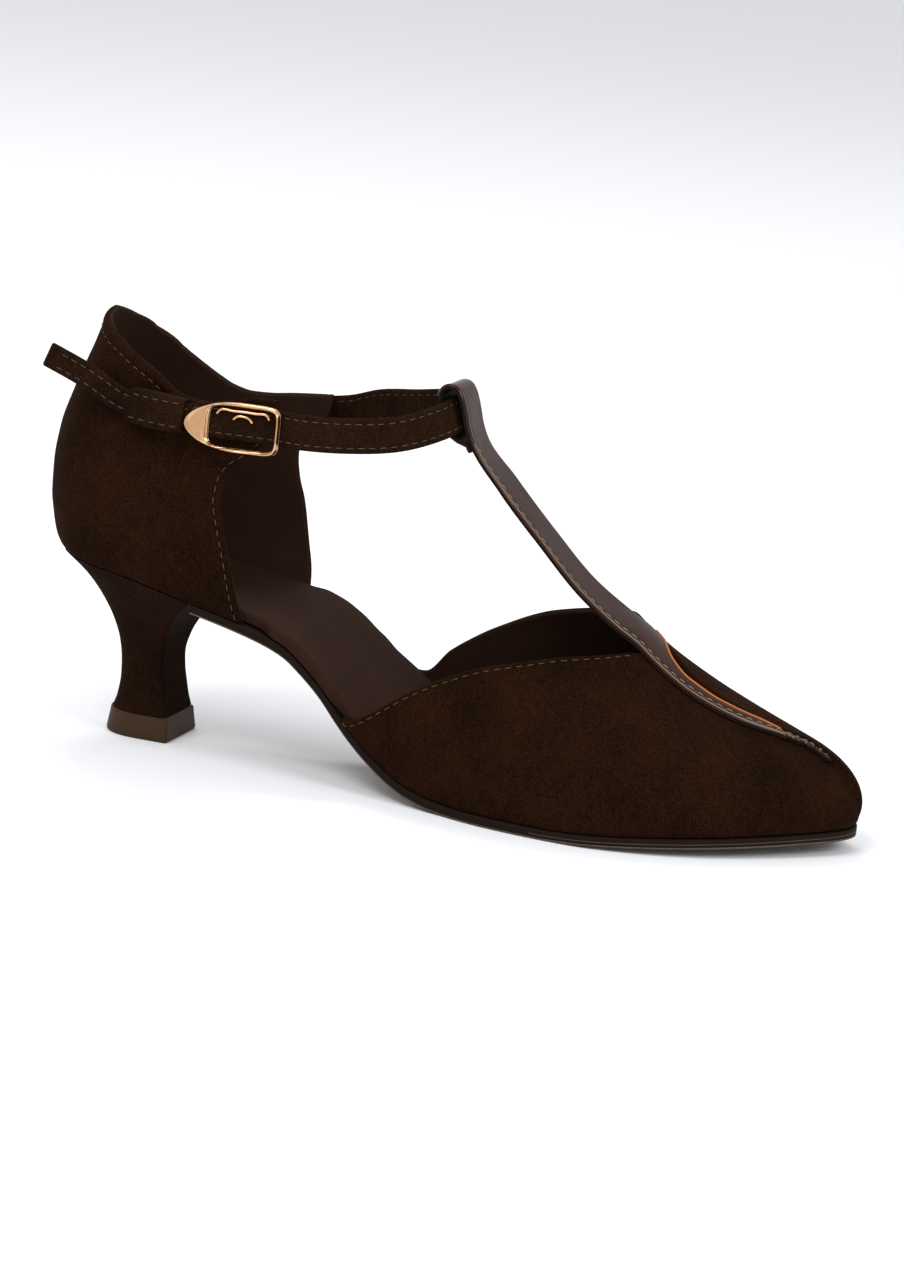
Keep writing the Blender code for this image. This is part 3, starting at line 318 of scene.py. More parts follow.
# On the outer side the top line runs on under the T-strap. It falls by this share of INSTEP_HEIGHT
# over this share of SHOE_LENGTH, and the panel ends at it, or at the seam, as far as UNDER_STRAP.
TOP_LINE_FALL = 0.022
TOP_LINE_RUN = 0.045
UNDER_STRAP = 0.80

# How far the inner panel stands proud along its edge
PANEL_RAISED = 0.0004

# Towards the toe's tip the faces turn to look out from one core, at these shares of the way to the
# tip and of INSTEP_HEIGHT, and the panels' edges close on the section's middle. Each starts at a
# share of the way to the tip and takes another share.
TIP_CORE = (0.86, 0.25)
TIP_TURN = (0.93, 0.04)
TIP_CLOSE = (0.945, 0.035)

# Seam between the vamp's two panels, with the leaf-shaped opening beside the T-strap's lower end.
# low and high are the opening's edges across, as shares of BALL_WIDTH.
SEAM = Table(
    "along low high",
    (0.700, 0.052, 0.052),
    (0.738, 0.052, 0.053),
    (0.742, 0.050, 0.060),
    (0.752, 0.000, 0.056),
    (0.768, -0.050, 0.030),
    (0.790, -0.078, -0.006),
    (0.815, -0.078, -0.008),
    (0.842, -0.055, 0.010),
    (0.868, -0.015, 0.034),
    (0.888, 0.020, 0.050),
    (0.898, 0.040, 0.052),
    (0.912, 0.047, 0.050),
    (0.925, 0.052, 0.052),
    (0.950, 0.070, 0.070),
    (0.990, 0.089, 0.089),
)

# Heel from its tip up to the seat. up is the share of the way up, back and breast are shares of
# SHOE_LENGTH, half is the share of the way from half the neck's to half the seat's width.
HEEL = Table(
    "up back breast half",
    (0.000, 0.089, 0.168, 0.110),
    (0.080, 0.093, 0.165, 0.060),
    (0.190, 0.095, 0.162, 0.020),
    (0.300, 0.094, 0.159, 0.000),
    (0.430, 0.090, 0.157, 0.020),
    (0.560, 0.0815, 0.160, 0.110),
    (0.700, 0.067, 0.168, 0.320),
    (0.850, 0.046, 0.184, 0.640),
    (1.000, 0.0155, 0.208, 1.000),
)
HEEL_ROUNDNESS = 2.3
HEEL_NOSE = 0.62
HEEL_CORNER = 0.0030
BREAST = 0.208

# The heel tip's flare: a level and how wide the tip is there, as a share of its full size
HEEL_TIP_FLARE = (
    (0.0, 0.985),
    (0.0002, 1.010),
    (0.0008, 1.030),
    (0.0030, 1.000),
    (0.0050, 0.972),
    (0.0062, 0.960),
    (0.0068, 0.950),
    (HEEL_TIP_HEIGHT, 0.935),
)
HEEL_TIP_CORNER = 0.0016

# Edges of sole and insole, as shares of SHOE_LENGTH: where the sole starts to stand proud and over
# what stretch, where its light line starts, the open waist, where the quarter's wall ends, and where
# the round ends of the outline stop and start. The corners are radii.
PROUD_FROM = 0.40
PROUD_OVER = 0.15
SOLE_LINE_FROM = 0.66
WAIST_FROM = 0.292
WAIST_TO = 0.404
WAIST_EASE = 0.02
WALL_CHANGE = 0.35
ROUND_BACK_TO = 0.10
ROUND_TOE_FROM = 0.80
SOLE_CORNER = 0.0006
INSOLE_CORNER = 0.0013

# T-strap from the vamp's toe up to the ankle strap: its two edges across as shares of BALL_WIDTH,
# and their heights as shares of INSTEP_HEIGHT where it doesn't lie on the vamp. A free row holds
# along, near, far and the heights of near and far.
T_STRAP_FREE = (
    (0.545, -0.084, 0.084, 1.525, 1.560),
    (0.600, -0.084, 0.084, 1.290, 1.325),
    (0.653, -0.086, 0.084, 1.080, 1.120),
    (0.698, -0.090, 0.084, 0.948, 0.998),
)
T_STRAP_LAID = Table(
    "along near far",
    (0.728, -0.094, 0.080),
    (0.740, -0.098, 0.068),
    (0.750, -0.102, 0.020),
    (0.762, -0.107, -0.020),
    (0.785, -0.112, -0.050),
    (0.812, -0.104, -0.048),
    (0.842, -0.082, -0.026),
    (0.872, -0.040, 0.010),
    (0.900, 0.008, 0.036),
    (0.925, 0.042, 0.062),
    (0.950, 0.062, 0.078),
)

# Ankle strap from its end on the inner side, through the T-strap's loop, to the buckle.
# A row holds along, across and level, as shares of SHOE_LENGTH, BALL_WIDTH and COLLAR_HEIGHT.
# Where the strap lies on the quarter it holds along and level alone.
ANKLE_FRONT = (
    (0.310, 0.366, 0.792),
    (0.352, 0.305, 0.822),
    (0.408, 0.222, 0.845),
    (0.440, 0.176, 0.859),
    (0.468, 0.132, 0.867),
    (0.4815, 0.078, 0.871),
    (0.483, 0.000, 0.872),
    (0.482, -0.080, 0.870),
    (0.472, -0.180, 0.857),
    (0.438, -0.314, 0.833),
    (0.385, -0.390, 0.820),
    (0.340, -0.402, 0.814),
)
ANKLE_BACK_LEVEL = ((0.300, 0.810), (0.250, 0.809), (0.200, 0.807), (0.150, 0.809), (0.110, 0.817))
ANKLE_FREE_END = ((0.064, 0.858), (0.009, 0.897))
ANKLE_INNER_LEVEL = ((0.215, 0.769), (0.262, 0.777))
BUCKLE_FROM = 0.192
KEEPER_FROM = 0.118
NARROWING = 0.004

# Buckle: half the window's length as a share of BUCKLE_LENGTH, how far it is widened into the rim,
# and the powers that square its corners and point the head. RIM_STEP lowers the face at the window
# by a share, from a distance and over a stretch. HEAD_FIELD sinks into the head likewise.
WINDOW_HALF = 0.336
WINDOW_WIDENED = 0.3
WINDOW_POWER = 0.35
HEAD_POWERS = (0.9, 1.15)
BUCKLE_ROUND = 0.0005
BUCKLE_EDGE = 0.0003
RIM_STEP = (0.42, 0.00075, 0.0002)
HEAD_FIELD = (0.00022, 0.0013, 0.0003)

# Bar and prong: along as a share of BUCKLE_LENGTH, then how far below the window's top
BAR_ROUTE = ((0.320, 0.0014), (0.345, 0.0003), (0.50, 0.0), (0.70, 0.0), (0.845, 0.0003),
             (0.870, 0.0014))
PRONG_ROUTE = ((0.49, 0.0024), (0.53, 0.0014), (0.59, 0.0012), (0.65, 0.0016), (0.69, 0.0028))
SLIM = 0.4

# Keeper: how square its section is, how far it puffs out, and its stitches behind its edges
KEEPER_POWER = 0.45
KEEPER_PUFF = 0.0005
KEEPER_ROW = 0.0006

STRAP_OUT = 2.0 * CLEARANCE + KEEPER_WALL + CLEARANCE + 0.5 * STRAP_THICKNESS

# Lean of the ankle strap on the quarter and in the T-strap's loop, and where the one eases into the
# other as shares of SHOE_LENGTH. Then the loop's room in front of the strap and behind it, and how
# much of the strap's swing its free end keeps.
WALL_SLOPE = 0.08
LOOP_LEAN = 0.38
LEAN_FROM = 0.40
LEAN_OVER = 0.08
LOOP_FRONT = 0.0013
LOOP_BACK = 0.0009
FREE_END_SWING = 0.35

# Stitching: a stitch's length, the threads' widths and the pitch from one stitch to the next.
# A stitch arches up and its ends sink in by these shares of its thread.
STITCH = 0.0021
THREAD = 0.00030
T_STRAP_THREAD = 0.00042
PITCH = 0.0030
STITCH_ARCH = 0.35
STITCH_SINK = 0.10

# How far each row of stitches stands behind the edge that it follows
COLLAR_ROW = 0.0037
FRONT_ROW = 0.0017
TOP_LINE_ROW = 0.0016
STRAP_ROW = 0.0016
T_STRAP_ROW = 0.0022
# Where the light beige line on the bead runs: a piping that stands also for the bead's painted highlight
T_STRAP_BEAD = 0.0007
COLLAR_MARGIN = 0.0022

# T-strap: the patent's share of its thickness, the radius of the light beige line on the bead along its
# near edge, which stands for a piping and for the bead's painted highlight, and the painted amber
# highlight along the far edge of its lining: how many columns of faces it takes, from which share of the
# laid rows its wire starts, and that wire's radius
PATENT_SHARE = 0.62
BEAD_PIPING_AND_HIGHLIGHT_WIRE = 0.00026
AMBER_COLUMNS = 12
AMBER_FROM = 0.26
AMBER_WIRE = 0.00036

# Rolls of the folded edges and dents under the stitches: height, distance from the edge and width.
# STRAP_FOLD is the radius of the ankle strap's edges, and STRAP_CORNER how far its free end draws
# in and over what stretch.
COLLAR_ROLL = (0.00030, 0.0018, 0.0012)
COLLAR_DENT = (0.00028, COLLAR_ROW, 0.00055)
FRONT_DENT = (0.00020, FRONT_ROW, 0.00045)
TOP_LINE_ROLL = (0.00018, 0.0009, 0.0009)
TOP_LINE_DENT = (0.00022, TOP_LINE_ROW, 0.0004)
STRAP_DENT = (0.00016, STRAP_ROW, 0.00035)
STRAP_FOLD = 0.0011
STRAP_CORNER = (0.0011, 0.0008)
T_STRAP_ROLL = (0.00030, 0.0008, 0.00045)
T_STRAP_DENT = (0.00014, T_STRAP_ROW, 0.0004)

# Fineness of the surfaces: rows and columns of their grids, and what is merged or dissolved
ALONG_QUARTER = 120
UP_QUARTER = 96
EDGE_ROWS = 26
ALONG_VAMP = 220
BEHIND_THROAT = 99
UP_SECTION = 161
ACROSS_PANEL = 96
ALONG_STRAP = 560
ROUTE_ROWS = 60
LAID_ROWS = 170
FREE_ROWS = 400
ACROSS_T_STRAP = 31
ALONG_SOLE = 150
ACROSS_SOLE = 61
HALF_HEEL = 60
ROUND_HEEL = 176
ROUND_TIP = 150
WELD = 2e-6
SLIVER = 1e-7

TIP_LOW, TIP_HIGH = (np.array(corner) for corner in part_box("heel_tip"))
TIP_MIDDLE = 0.5 * (TIP_LOW + TIP_HIGH)
TIP_ALONG = 0.5 * (HEEL["back"][0] + HEEL["breast"][0]) * SHOE_LENGTH
SHOE_AT = np.array([TIP_MIDDLE[0] - TIP_ALONG, TIP_MIDDLE[1], 0.0])


# Curves and grids

def through(points, count, begin=0):
    """A smooth curve through a few points, read at evenly spaced places from one of them on."""
    points = np.asarray(points, dtype=float)
    way = way_along(points)
    tangent = np.gradient(points, way, axis=0)
    at = np.linspace(way[begin], way[-1], count)
    i = np.clip(np.searchsorted(way, at) - 1, 0, len(way) - 2)
    step = (way[i + 1] - way[i])[:, None]
    t = (at - way[i])[:, None] / step
    return cubic(points, tangent, i, step, t)


def way_along(points):
    """Distance along a line of points from its first one."""
    return np.concatenate([[0.0], np.cumsum(np.linalg.norm(np.diff(points, axis=0), axis=1))])


def ease(value):
    """A soft step from 0 to 1."""
    value = np.clip(value, 0.0, 1.0)
    return value * value * (3.0 - 2.0 * value)


def unit(vectors):
    """Vectors brought to a length of one."""
    return vectors / np.maximum(np.linalg.norm(vectors, axis=-1, keepdims=True), 1e-12)


def roll(edge, shape):
    """A soft roll along an edge: a bell with a height, a distance from the edge and a width."""
    height, place, width = shape
    return height * np.exp(-((edge - place) / width) ** 2)


def rounded(distance, radius):
    """A quarter circle: 0 at an edge and 1 from a radius inside it."""
    share = np.clip(distance / radius, 0.0, 1.0)
    return np.sqrt(np.maximum(1.0 - (1.0 - share) ** 2, 0.0))


def powered(value, exponent):
    """A value's size raised to a power, with its sign kept."""
    return np.sign(value) * np.abs(value) ** exponent


def toward_edge(count, fine, share):
    """Shares from 0 to 1: even ones, then a last stretch that closes up towards 1 like a sine."""
    even = np.linspace(0.0, 1.0 - share, count - fine, endpoint=False)
    turn = np.linspace(0.0, 0.5 * math.pi, fine)
    return np.concatenate([even, 1.0 - share + share * np.sin(turn)])


def toward_both(count, fine, share):
    """An odd number of shares from 0 to 1, the same from both ends, that close up towards both."""
    half = 0.5 * toward_edge(count // 2 + 1, fine, 2.0 * share)
    return np.concatenate([0.5 - half[::-1], 0.5 + half[1:]])


def normals(grid):
    """Unit normals of a grid of points: the cross product of its two directions."""
    return unit(np.cross(np.gradient(grid, axis=0), np.gradient(grid, axis=1)))


def row_ways(grid):
    """Distance along each row of a grid from its first point."""
    step = np.linalg.norm(np.diff(grid, axis=1), axis=2)
    return np.concatenate([np.zeros((len(grid), 1)), np.cumsum(step, axis=1)], axis=1)


def read_rows(way, values, at):
    """Values of every row at some ways along it, straight between its own.

    Each row's ways are squeezed between its number and the next one, so one reading serves all rows.
    """
    number = np.arange(len(way))[:, None]
    length = np.maximum(way[:, -1:], 1e-9)
    known = (number + 0.999 * way / length).ravel()
    wanted = number + 0.999 * np.clip(at, 0.0, length) / length
    return np.stack([np.interp(wanted, known, values[..., k].ravel()) for k in range(values.shape[2])],
                    axis=-1)


# Outline of the last

HEEL_BACK, TOE_TIP = OUTLINE["along"][[0, -1]] * SHOE_LENGTH


def half_width(x):
    """Half the outline's width. Its square is what runs smoothly, so both ends come out round."""
    half = OUTLINE["seat"] * SEAT_WIDTH + OUTLINE["ball"] * BALL_WIDTH
    return np.sqrt(np.maximum(smooth(OUTLINE["along"] * SHOE_LENGTH, half ** 2, x), 0.0))


def centre_line(x):
    """The outline's middle, across the shoe."""
    return OUTLINE.at("centre", x / SHOE_LENGTH) * BALL_WIDTH


def feather_height(x, y):
    """Height of the feather surface: the arch on each side, mixed across, plus the toe spring."""
    at = x / SHOE_LENGTH
    side = ease(0.5 + 0.5 * (y - centre_line(x)) / np.maximum(half_width(x), 0.001))
    arch = ARCH.at("outer", at) * (1 - side) + ARCH.at("inner", at) * side
    rise = SEAT_HEIGHT - SOLE_THICKNESS
    return SOLE_THICKNESS + rise * arch + TOE_SPRING * SPRING.at("rise", at)


class Side:
    """One side of the outline as a dense curve from the heel's back to the toe's tip."""

    def __init__(self, sign, name):
        self.sign = sign
        self.name = name
        turn = np.linspace(0.0, math.pi, 1801)
        self.x = HEEL_BACK + (TOE_TIP - HEEL_BACK) * 0.5 * (1 - np.cos(turn))
        self.y = centre_line(self.x) + sign * half_width(self.x)
        self.way = way_along(np.stack([self.x, self.y], axis=1))
        dx = np.gradient(self.x, self.way)
        dy = np.gradient(self.y, self.way)
        size = np.hypot(dx, dy)
        self.out_x = -sign * dy / size
        self.out_y = sign * dx / size

    def at_way(self, way):
        """Place and outward direction at some way along the outline from the heel's back."""
        return tuple(np.interp(way, self.way, values)
                     for values in (self.x, self.y, self.out_x, self.out_y))

    def way_of(self, x):
        """Way along the outline to a station."""
        return np.interp(x, self.x, self.way)


OUTER = Side(-1, "outer")
INNER = Side(1, "inner")


# Making meshes

class Form:
    """Grids of points, each with the number of its finish, that are put together as one mesh."""

    def __init__(self):
        self.points = []
        self.faces = []
        self.marks = []
        self.count = 0

    def add(self, points, mark=0, around=False):
        """Faces over a grid of points, or over many grids at once. around joins its columns in a ring.

        mark is one number for the whole grid or a grid of numbers, one for each face.
        """
        index = np.arange(points.size // 3).reshape(points.shape[:-1]) + self.count
        if around:
            index = np.concatenate([index, index[..., :1]], axis=-1)
        quads = np.stack([index[..., :-1, :-1], index[..., 1:, :-1],
                          index[..., 1:, 1:], index[..., :-1, 1:]], axis=-1).reshape(-1, 4)
        self.points.append(points.reshape(-1, 3))
        self.faces.append(quads)
        self.marks.append(np.broadcast_to(mark, index[..., 1:, 1:].shape).ravel())
        self.count += points.size // 3

    def make(self, name, finishes, node=None, crease=None):
        """The finished piece: welded, facing outwards, riding on the shoe and standing for its node."""
        mesh = bpy.data.meshes.new(name)
        points = np.concatenate(self.points) + SHOE_AT
        mesh.from_pydata(points.tolist(), [], np.concatenate(self.faces).tolist())
        mesh.polygons.foreach_set("material_index", np.concatenate(self.marks).astype(np.int32))
        for finish in finishes:
            mesh.materials.append(finish)
        tidy_mesh(mesh)
        mesh.shade_smooth()
        if crease is not None:
            mesh.set_sharp_from_angle(angle=math.radians(crease))
        piece = bpy.data.objects.new(name, mesh)
        bpy.context.scene.collection.objects.link(piece)
        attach(piece, "root")
        if node:
            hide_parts(node)


def tidy_mesh(mesh):
    """Doubles merged, slivers dissolved and faces turned outwards."""
    work = bmesh.new()
    work.from_mesh(mesh)
    bmesh.ops.remove_doubles(work, verts=work.verts, dist=WELD)
    bmesh.ops.dissolve_degenerate(work, edges=work.edges, dist=SLIVER)
    bmesh.ops.recalc_face_normals(work, faces=work.faces)
    work.to_mesh(mesh)
    work.free()
    mesh.update()


def add_wall(form, face, inward, thickness, edge, relief, sides):
    """A wall under a face. Both its faces draw in to meet in a half circle at its free edges.

    face is the outer grid, inward its directions, edge each point's distance from a free edge and
    relief how far the outer face stands proud. sides are the lines of the grid where the two faces
    are joined. The inner face has the second finish.
    """
    half = 0.5 * thickness
    draw = half * (1 - rounded(edge, half))
    outer = face + inward * (draw - relief)[..., None]
    inner = face + inward * (thickness - draw)[..., None]
    form.add(outer)
    form.add(inner, 1)
    for line in sides:
        form.add(np.stack([outer[line], inner[line]]))


def add_ribbon(form, centre, out, edge, thickness, radius, relief=0.0, mark=0):
    """A flat band round a grid of its middle face, with both its faces meeting at rounded edges."""
    full = rounded(edge, radius)
    half = 0.5 * thickness * full
    outer = centre + out * (half + relief * full)[..., None]
    inner = centre - out * half[..., None]
    form.add(np.concatenate([outer, inner[:, ::-1]], axis=1), mark, around=True)


def add_rings(form, rings):
    """A closed solid through rings of points. Its ends close on the middles of the end rings."""
    first, last = (np.broadcast_to(end.mean(axis=1, keepdims=True), end.shape)
                   for end in (rings[:1], rings[-1:]))
    form.add(np.concatenate([first, rings, last]), around=True)


def add_wire(form, core, radius, sides=14, mark=0):
    """A round wire along a line, with round ends."""
    way = way_along(core)
    end = np.minimum(way, way[-1] - way)
    thick = radius * rounded(end, radius)
    ahead = unit(np.gradient(core, axis=0))
    first = unit(np.cross(ahead, (0.0, 1.0, 0.0)))
    second = np.cross(ahead, first)
    turn = np.linspace(0.0, 2 * math.pi, sides, endpoint=False)[:, None]
    ring = core[:, None] + thick[:, None, None] * (first[:, None] * np.cos(turn)
                                                   + second[:, None] * np.sin(turn))
    form.add(ring, mark, around=True)


def add_stitches(form, line, up, thread=THREAD):
    """A row of stitches: each thread is an arched grain that dips into the leather at both ends.

    line holds the points of the row and up the leather's outward directions there.
    """
    way = way_along(line)
    count = int(way[-1] / PITCH)
    middle_at = (np.arange(count) + 0.5) * way[-1] / count
    t = np.linspace(-1.0, 1.0, 7)
    at = middle_at[:, None] + 0.5 * STITCH * t[None, :]
    core = np.stack([np.interp(at, way, line[:, k]) for k in range(3)], axis=-1)
    lift = unit(np.stack([np.interp(at, way, up[:, k]) for k in range(3)], axis=-1))
    ahead = unit(np.gradient(core, axis=1))
    across = unit(np.cross(ahead, lift))
    thick = 0.5 * thread * np.sqrt(np.maximum(1.0 - np.abs(t) ** 3, 0.0))
    rise = thread * (STITCH_ARCH * (1 - t ** 2) - STITCH_SINK)
    core = core + lift * rise[None, :, None]
    turn = np.linspace(0.0, 2 * math.pi, 6, endpoint=False)
    ring = (core[:, :, None] + thick[None, :, None, None]
            * (across[:, :, None] * np.cos(turn)[:, None] + lift[:, :, None] * np.sin(turn)[:, None]))
    form.add(ring, around=True)


# Upper

def flank_lean(x, up):
    """How far the wall stands out sideways: its lean, less the drawing in behind the ankle."""
    inward = PINCH.at("inward", x / SHOE_LENGTH) * np.maximum(up, 0.0) ** PINCH_POWER
    return (LEAN.at("side", up) - inward) * SEAT_WIDTH


def quarter_wall(side, around, up_share):
    """Grid of one side of the quarter: around runs from the back, up_share from the feather line.

    Each point stands over the outline, leans out by the lean table and ends under the collar's line.
    """
    rise = COLLAR_HEIGHT - SEAT_HEIGHT
    longest = side.way_of(FRONT_EDGE[side.name][-1] * SHOE_LENGTH)
    top = SEAT_HEIGHT + rise * COLLAR.at(side.name, around * longest / SHOE_LENGTH)[:, None]
    z = SEAT_HEIGHT + (top - SEAT_HEIGHT) * up_share
    for _ in range(6):
        reach = side.way_of(FRONT_EDGE.at(side.name, z / COLLAR_HEIGHT) * SHOE_LENGTH)
        x, y, out_x, out_y = side.at_way(around[:, None] * reach)
        foot = feather_height(x, y) + CLEARANCE
        z = foot + (top - foot) * up_share
    up = (z - foot) / rise
    back = LEAN.at("back", up) * SEAT_WIDTH
    return np.stack([x + out_x * back, y + out_y * flank_lean(x, up), z], axis=2)


class Quarter:
    """The quarter's outer face as a fine grid, with each point's distance from collar and front."""

    def __init__(self):
        around = toward_edge(ALONG_QUARTER, EDGE_ROWS, 0.05)
        up = toward_edge(UP_QUARTER, EDGE_ROWS, 0.06)
        outer = quarter_wall(OUTER, around, up)
        inner = quarter_wall(INNER, around, up)
        self.face = np.concatenate([outer[::-1], inner[1:]])
        self.inward = normals(self.face)
        from_foot = row_ways(self.face)
        self.from_collar = from_foot[:, -1:] - from_foot
        from_outer = row_ways(self.face.transpose(1, 0, 2)).T
        self.from_front = np.minimum(from_outer, from_outer[-1:] - from_outer)

    def relief(self):
        """Height of the folded edges: a soft roll at the rim and a dent under each row of stitches."""
        return (roll(self.from_collar, COLLAR_ROLL) - roll(self.from_collar, COLLAR_DENT)
                - roll(self.from_front, FRONT_DENT))


def edge_row(face, inward, margin, distance, least, far=True):
    """Points and outward directions of stitches at a distance from a grid's last column, or its first.

    margin is each point's distance from another edge, and the row stops where that is least.
    """
    way = row_ways(face)
    at = way[:, -1:] - distance if far else np.full((len(way), 1), distance)
    clear = read_rows(way, margin[..., None], at)[:, 0, 0] > least
    return read_rows(way, face, at)[clear, 0], -read_rows(way, inward, at)[clear, 0]


def ridge(x):
    """Place across and height of the ridge over instep and toes."""
    at = x / SHOE_LENGTH
    return RIDGE.at("across", at) * BALL_WIDTH, RIDGE.at("height", at) * INSTEP_HEIGHT


def vamp_half(side, x0, turn):
    """One side of the vamp from the feather line to the ridge: each section is a superellipse.

    Its power is the side's roundness. It bulges past the sole by the overhang, most at a third of
    the way up, as the way times the square of the rest.
    """
    full = OUTER_ROUNDNESS if side.sign < 0 else INNER_ROUNDNESS
    px, py, out_x, out_y = side.at_way(side.way_of(x0))
    foot = feather_height(px, py) + CLEARANCE
    fan = np.clip((x0 / SHOE_LENGTH - TOE_FAN_START) / (TOE_TIP / SHOE_LENGTH - TOE_FAN_START), 0, 1)
    roundness = full - TOE_FLATNESS * fan
    ridge_x = x0 - TOE_FAN * SHOE_LENGTH * fan ** 2
    ridge_y, ridge_z = ridge(ridge_x)
    power = 2.0 / roundness[:, None]
    away = np.cos(turn)[None, :] ** power
    away[:, -1] = 0.0
    up = np.sin(turn)[None, :] ** power
    share = (turn / (0.5 * math.pi))[None, :]
    proud = (OVERHANG + TOE_BULGE * fan[:, None]) * 27 / 4 * share * (1 - share) ** 2
    x = ridge_x[:, None] + (px - ridge_x)[:, None] * away + out_x[:, None] * proud
    y = ridge_y[:, None] + (py - ridge_y)[:, None] * away + out_y[:, None] * proud
    z = foot[:, None] + (ridge_z - foot)[:, None] * up
    return np.stack([x, y, z], axis=2)


def top_line_turn(side, x0):
    """How far up its section the vamp reaches behind the throat, as the superellipse's angle.

    On the outer side the line runs on past the throat, falling a little, and under the T-strap.
    """
    full = OUTER_ROUNDNESS if side.sign < 0 else INNER_ROUNDNESS
    stations = x0 if side.sign < 0 else np.linspace(VAMP_START, THROAT, 13) * SHOE_LENGTH
    px, py, _, _ = side.at_way(side.way_of(stations))
    foot = feather_height(px, py) + CLEARANCE
    _, ridge_z = ridge(stations)
    line = TOP_LINE.at(side.name, stations / SHOE_LENGTH)
    if side.sign < 0:
        past = stations / SHOE_LENGTH - TOP_LINE["along"][-1]
        line = line - TOP_LINE_FALL * ease(past / TOP_LINE_RUN)
    part = np.clip((line * INSTEP_HEIGHT - foot) / (ridge_z - foot), 0.01, 1.0)
    turn = np.arcsin(part ** (0.5 * full))
    if side.sign < 0:
        return turn
    turn[-1] = 0.5 * math.pi
    return smooth(stations, turn, x0)


def seam(x):
    """Low and high edge of the opening in plan. They are one line where the panels are joined."""
    return tuple(SEAM.at(name, x / SHOE_LENGTH) * BALL_WIDTH for name in ("low", "high"))


def first_crossing(way, value):
    """Way along each row at which a value first rises through zero, straight between two points."""
    after = np.argmax(value > 0, axis=1)
    after = np.maximum(after, 1)
    row = np.arange(len(value))
    before = after - 1
    part = value[row, before] / (value[row, before] - value[row, after])
    return way[row, before] + np.clip(part, 0, 1) * (way[row, after] - way[row, before])


class Vamp:
    """The vamp's section curves over the last, and the grids of its outer and inner panel."""

    def __init__(self):
        start = VAMP_START * SHOE_LENGTH
        throat = THROAT * SHOE_LENGTH
        behind = np.linspace(start, throat, BEHIND_THROAT)
        turn = np.linspace(0.0, 0.5 * math.pi, ALONG_VAMP - BEHIND_THROAT + 1)
        ahead = throat + (TOE_TIP - throat) * np.sin(turn)
        self.x0 = np.concatenate([behind, ahead[1:]])
        turn = np.linspace(0.0, 0.5 * math.pi, UP_SECTION)
        outer = vamp_half(OUTER, self.x0, turn)
        inner = vamp_half(INNER, self.x0, turn)
        outer[-1] = inner[-1] = 0.5 * (outer[-1] + inner[-1])
        self.whole = np.concatenate([outer, inner[:, -2::-1]], axis=1)
        self.way = row_ways(self.whole)
        self.up = normals(self.whole)
        core = np.array([TIP_CORE[0] * TOE_TIP, float(centre_line(TOE_TIP)),
                         TIP_CORE[1] * INSTEP_HEIGHT])
        near_tip = ease((self.x0 / TOE_TIP - TIP_TURN[0]) / TIP_TURN[1])[:, None, None]
        self.up = unit(self.up * (1 - near_tip) + unit(self.whole - core) * near_tip)
        behind_throat = self.x0 < throat - 1e-9
        low, high = seam(self.whole[..., 0])
        low_way = first_crossing(self.way, self.whole[..., 1] - low)
        high_way = first_crossing(self.way, self.whole[..., 1] - high)
        turn_at = np.concatenate([turn, math.pi - turn[-2::-1]])
        outer_turn = top_line_turn(OUTER, self.x0)
        inner_turn = math.pi - top_line_turn(INNER, self.x0)
        outer_way, inner_way = (
            np.array([np.interp(at, turn_at, way) for at, way in zip(ends, self.way)])
            for ends in (outer_turn, inner_turn))
        self.low = np.where(self.x0 < UNDER_STRAP * SHOE_LENGTH,
                            np.minimum(outer_way, low_way), low_way)
        self.high = np.where(behind_throat, inner_way, np.maximum(high_way, low_way))
        middle = self.way[:, UP_SECTION - 1]
        toward = ease((self.x0 / TOE_TIP - TIP_CLOSE[0]) / TIP_CLOSE[1])
        self.low = self.low + (middle - self.low) * toward
        self.high = self.high + (middle - self.high) * toward
        width = self.high - self.low
        self.open = np.where(behind_throat, 1.0, np.clip((width - 0.0003) / 0.002, 0.0, 1.0))
        self.high = np.where(self.open == 0, self.low, self.high)

    def panel(self, inner):
        """Grid of one panel from its feather line to its free edge, with its upward directions and
        each point's distance from that edge."""
        share = toward_both(ACROSS_PANEL + 1, 22, 0.06)[None, :]
        if inner:
            total = self.way[:, -1:]
            at = total - (total - self.high[:, None]) * share
            edge = at - self.high[:, None]
        else:
            at = self.low[:, None] * share
            edge = self.low[:, None] - at
        return read_rows(self.way, self.whole, at), unit(read_rows(self.way, self.up, at)), edge

    def lay(self, x, y):
        """Points and upward directions of the last over places in plan.

        Each takes the nearest point of the sections and slides from it in that point's tangent plane.
        """
        flat = self.whole[:, ::2].reshape(-1, 3)
        up = self.up[:, ::2].reshape(-1, 3)
        keep = up[:, 2] > 0.15
        flat = flat[keep]
        up = up[keep]
        places = np.stack([x.ravel(), y.ravel()], axis=1)
        points = np.empty((len(places), 3))
        ups = np.empty((len(places), 3))
        for block in np.array_split(np.arange(len(places)), max(1, len(places) // 150)):
            gap = ((places[block, None, :] - flat[None, :, :2]) ** 2).sum(axis=2)
            near = gap.argmin(axis=1)
            step = places[block] - flat[near, :2]
            fall = (step * up[near, :2]).sum(axis=1) / up[near, 2]
            points[block] = np.column_stack([places[block], flat[near, 2] - fall])
            ups[block] = up[near]
        return points.reshape(x.shape + (3,)), ups.reshape(x.shape + (3,))


# Straps

def flank_y(side, x, z):
    """How far out the quarter's outer face stands at a place on its side."""
    px, py, _, out_y = side.at_way(side.way_of(x))
    up = (z - feather_height(px, py)) / (COLLAR_HEIGHT - SEAT_HEIGHT)
    return float(py + out_y * flank_lean(px, up))


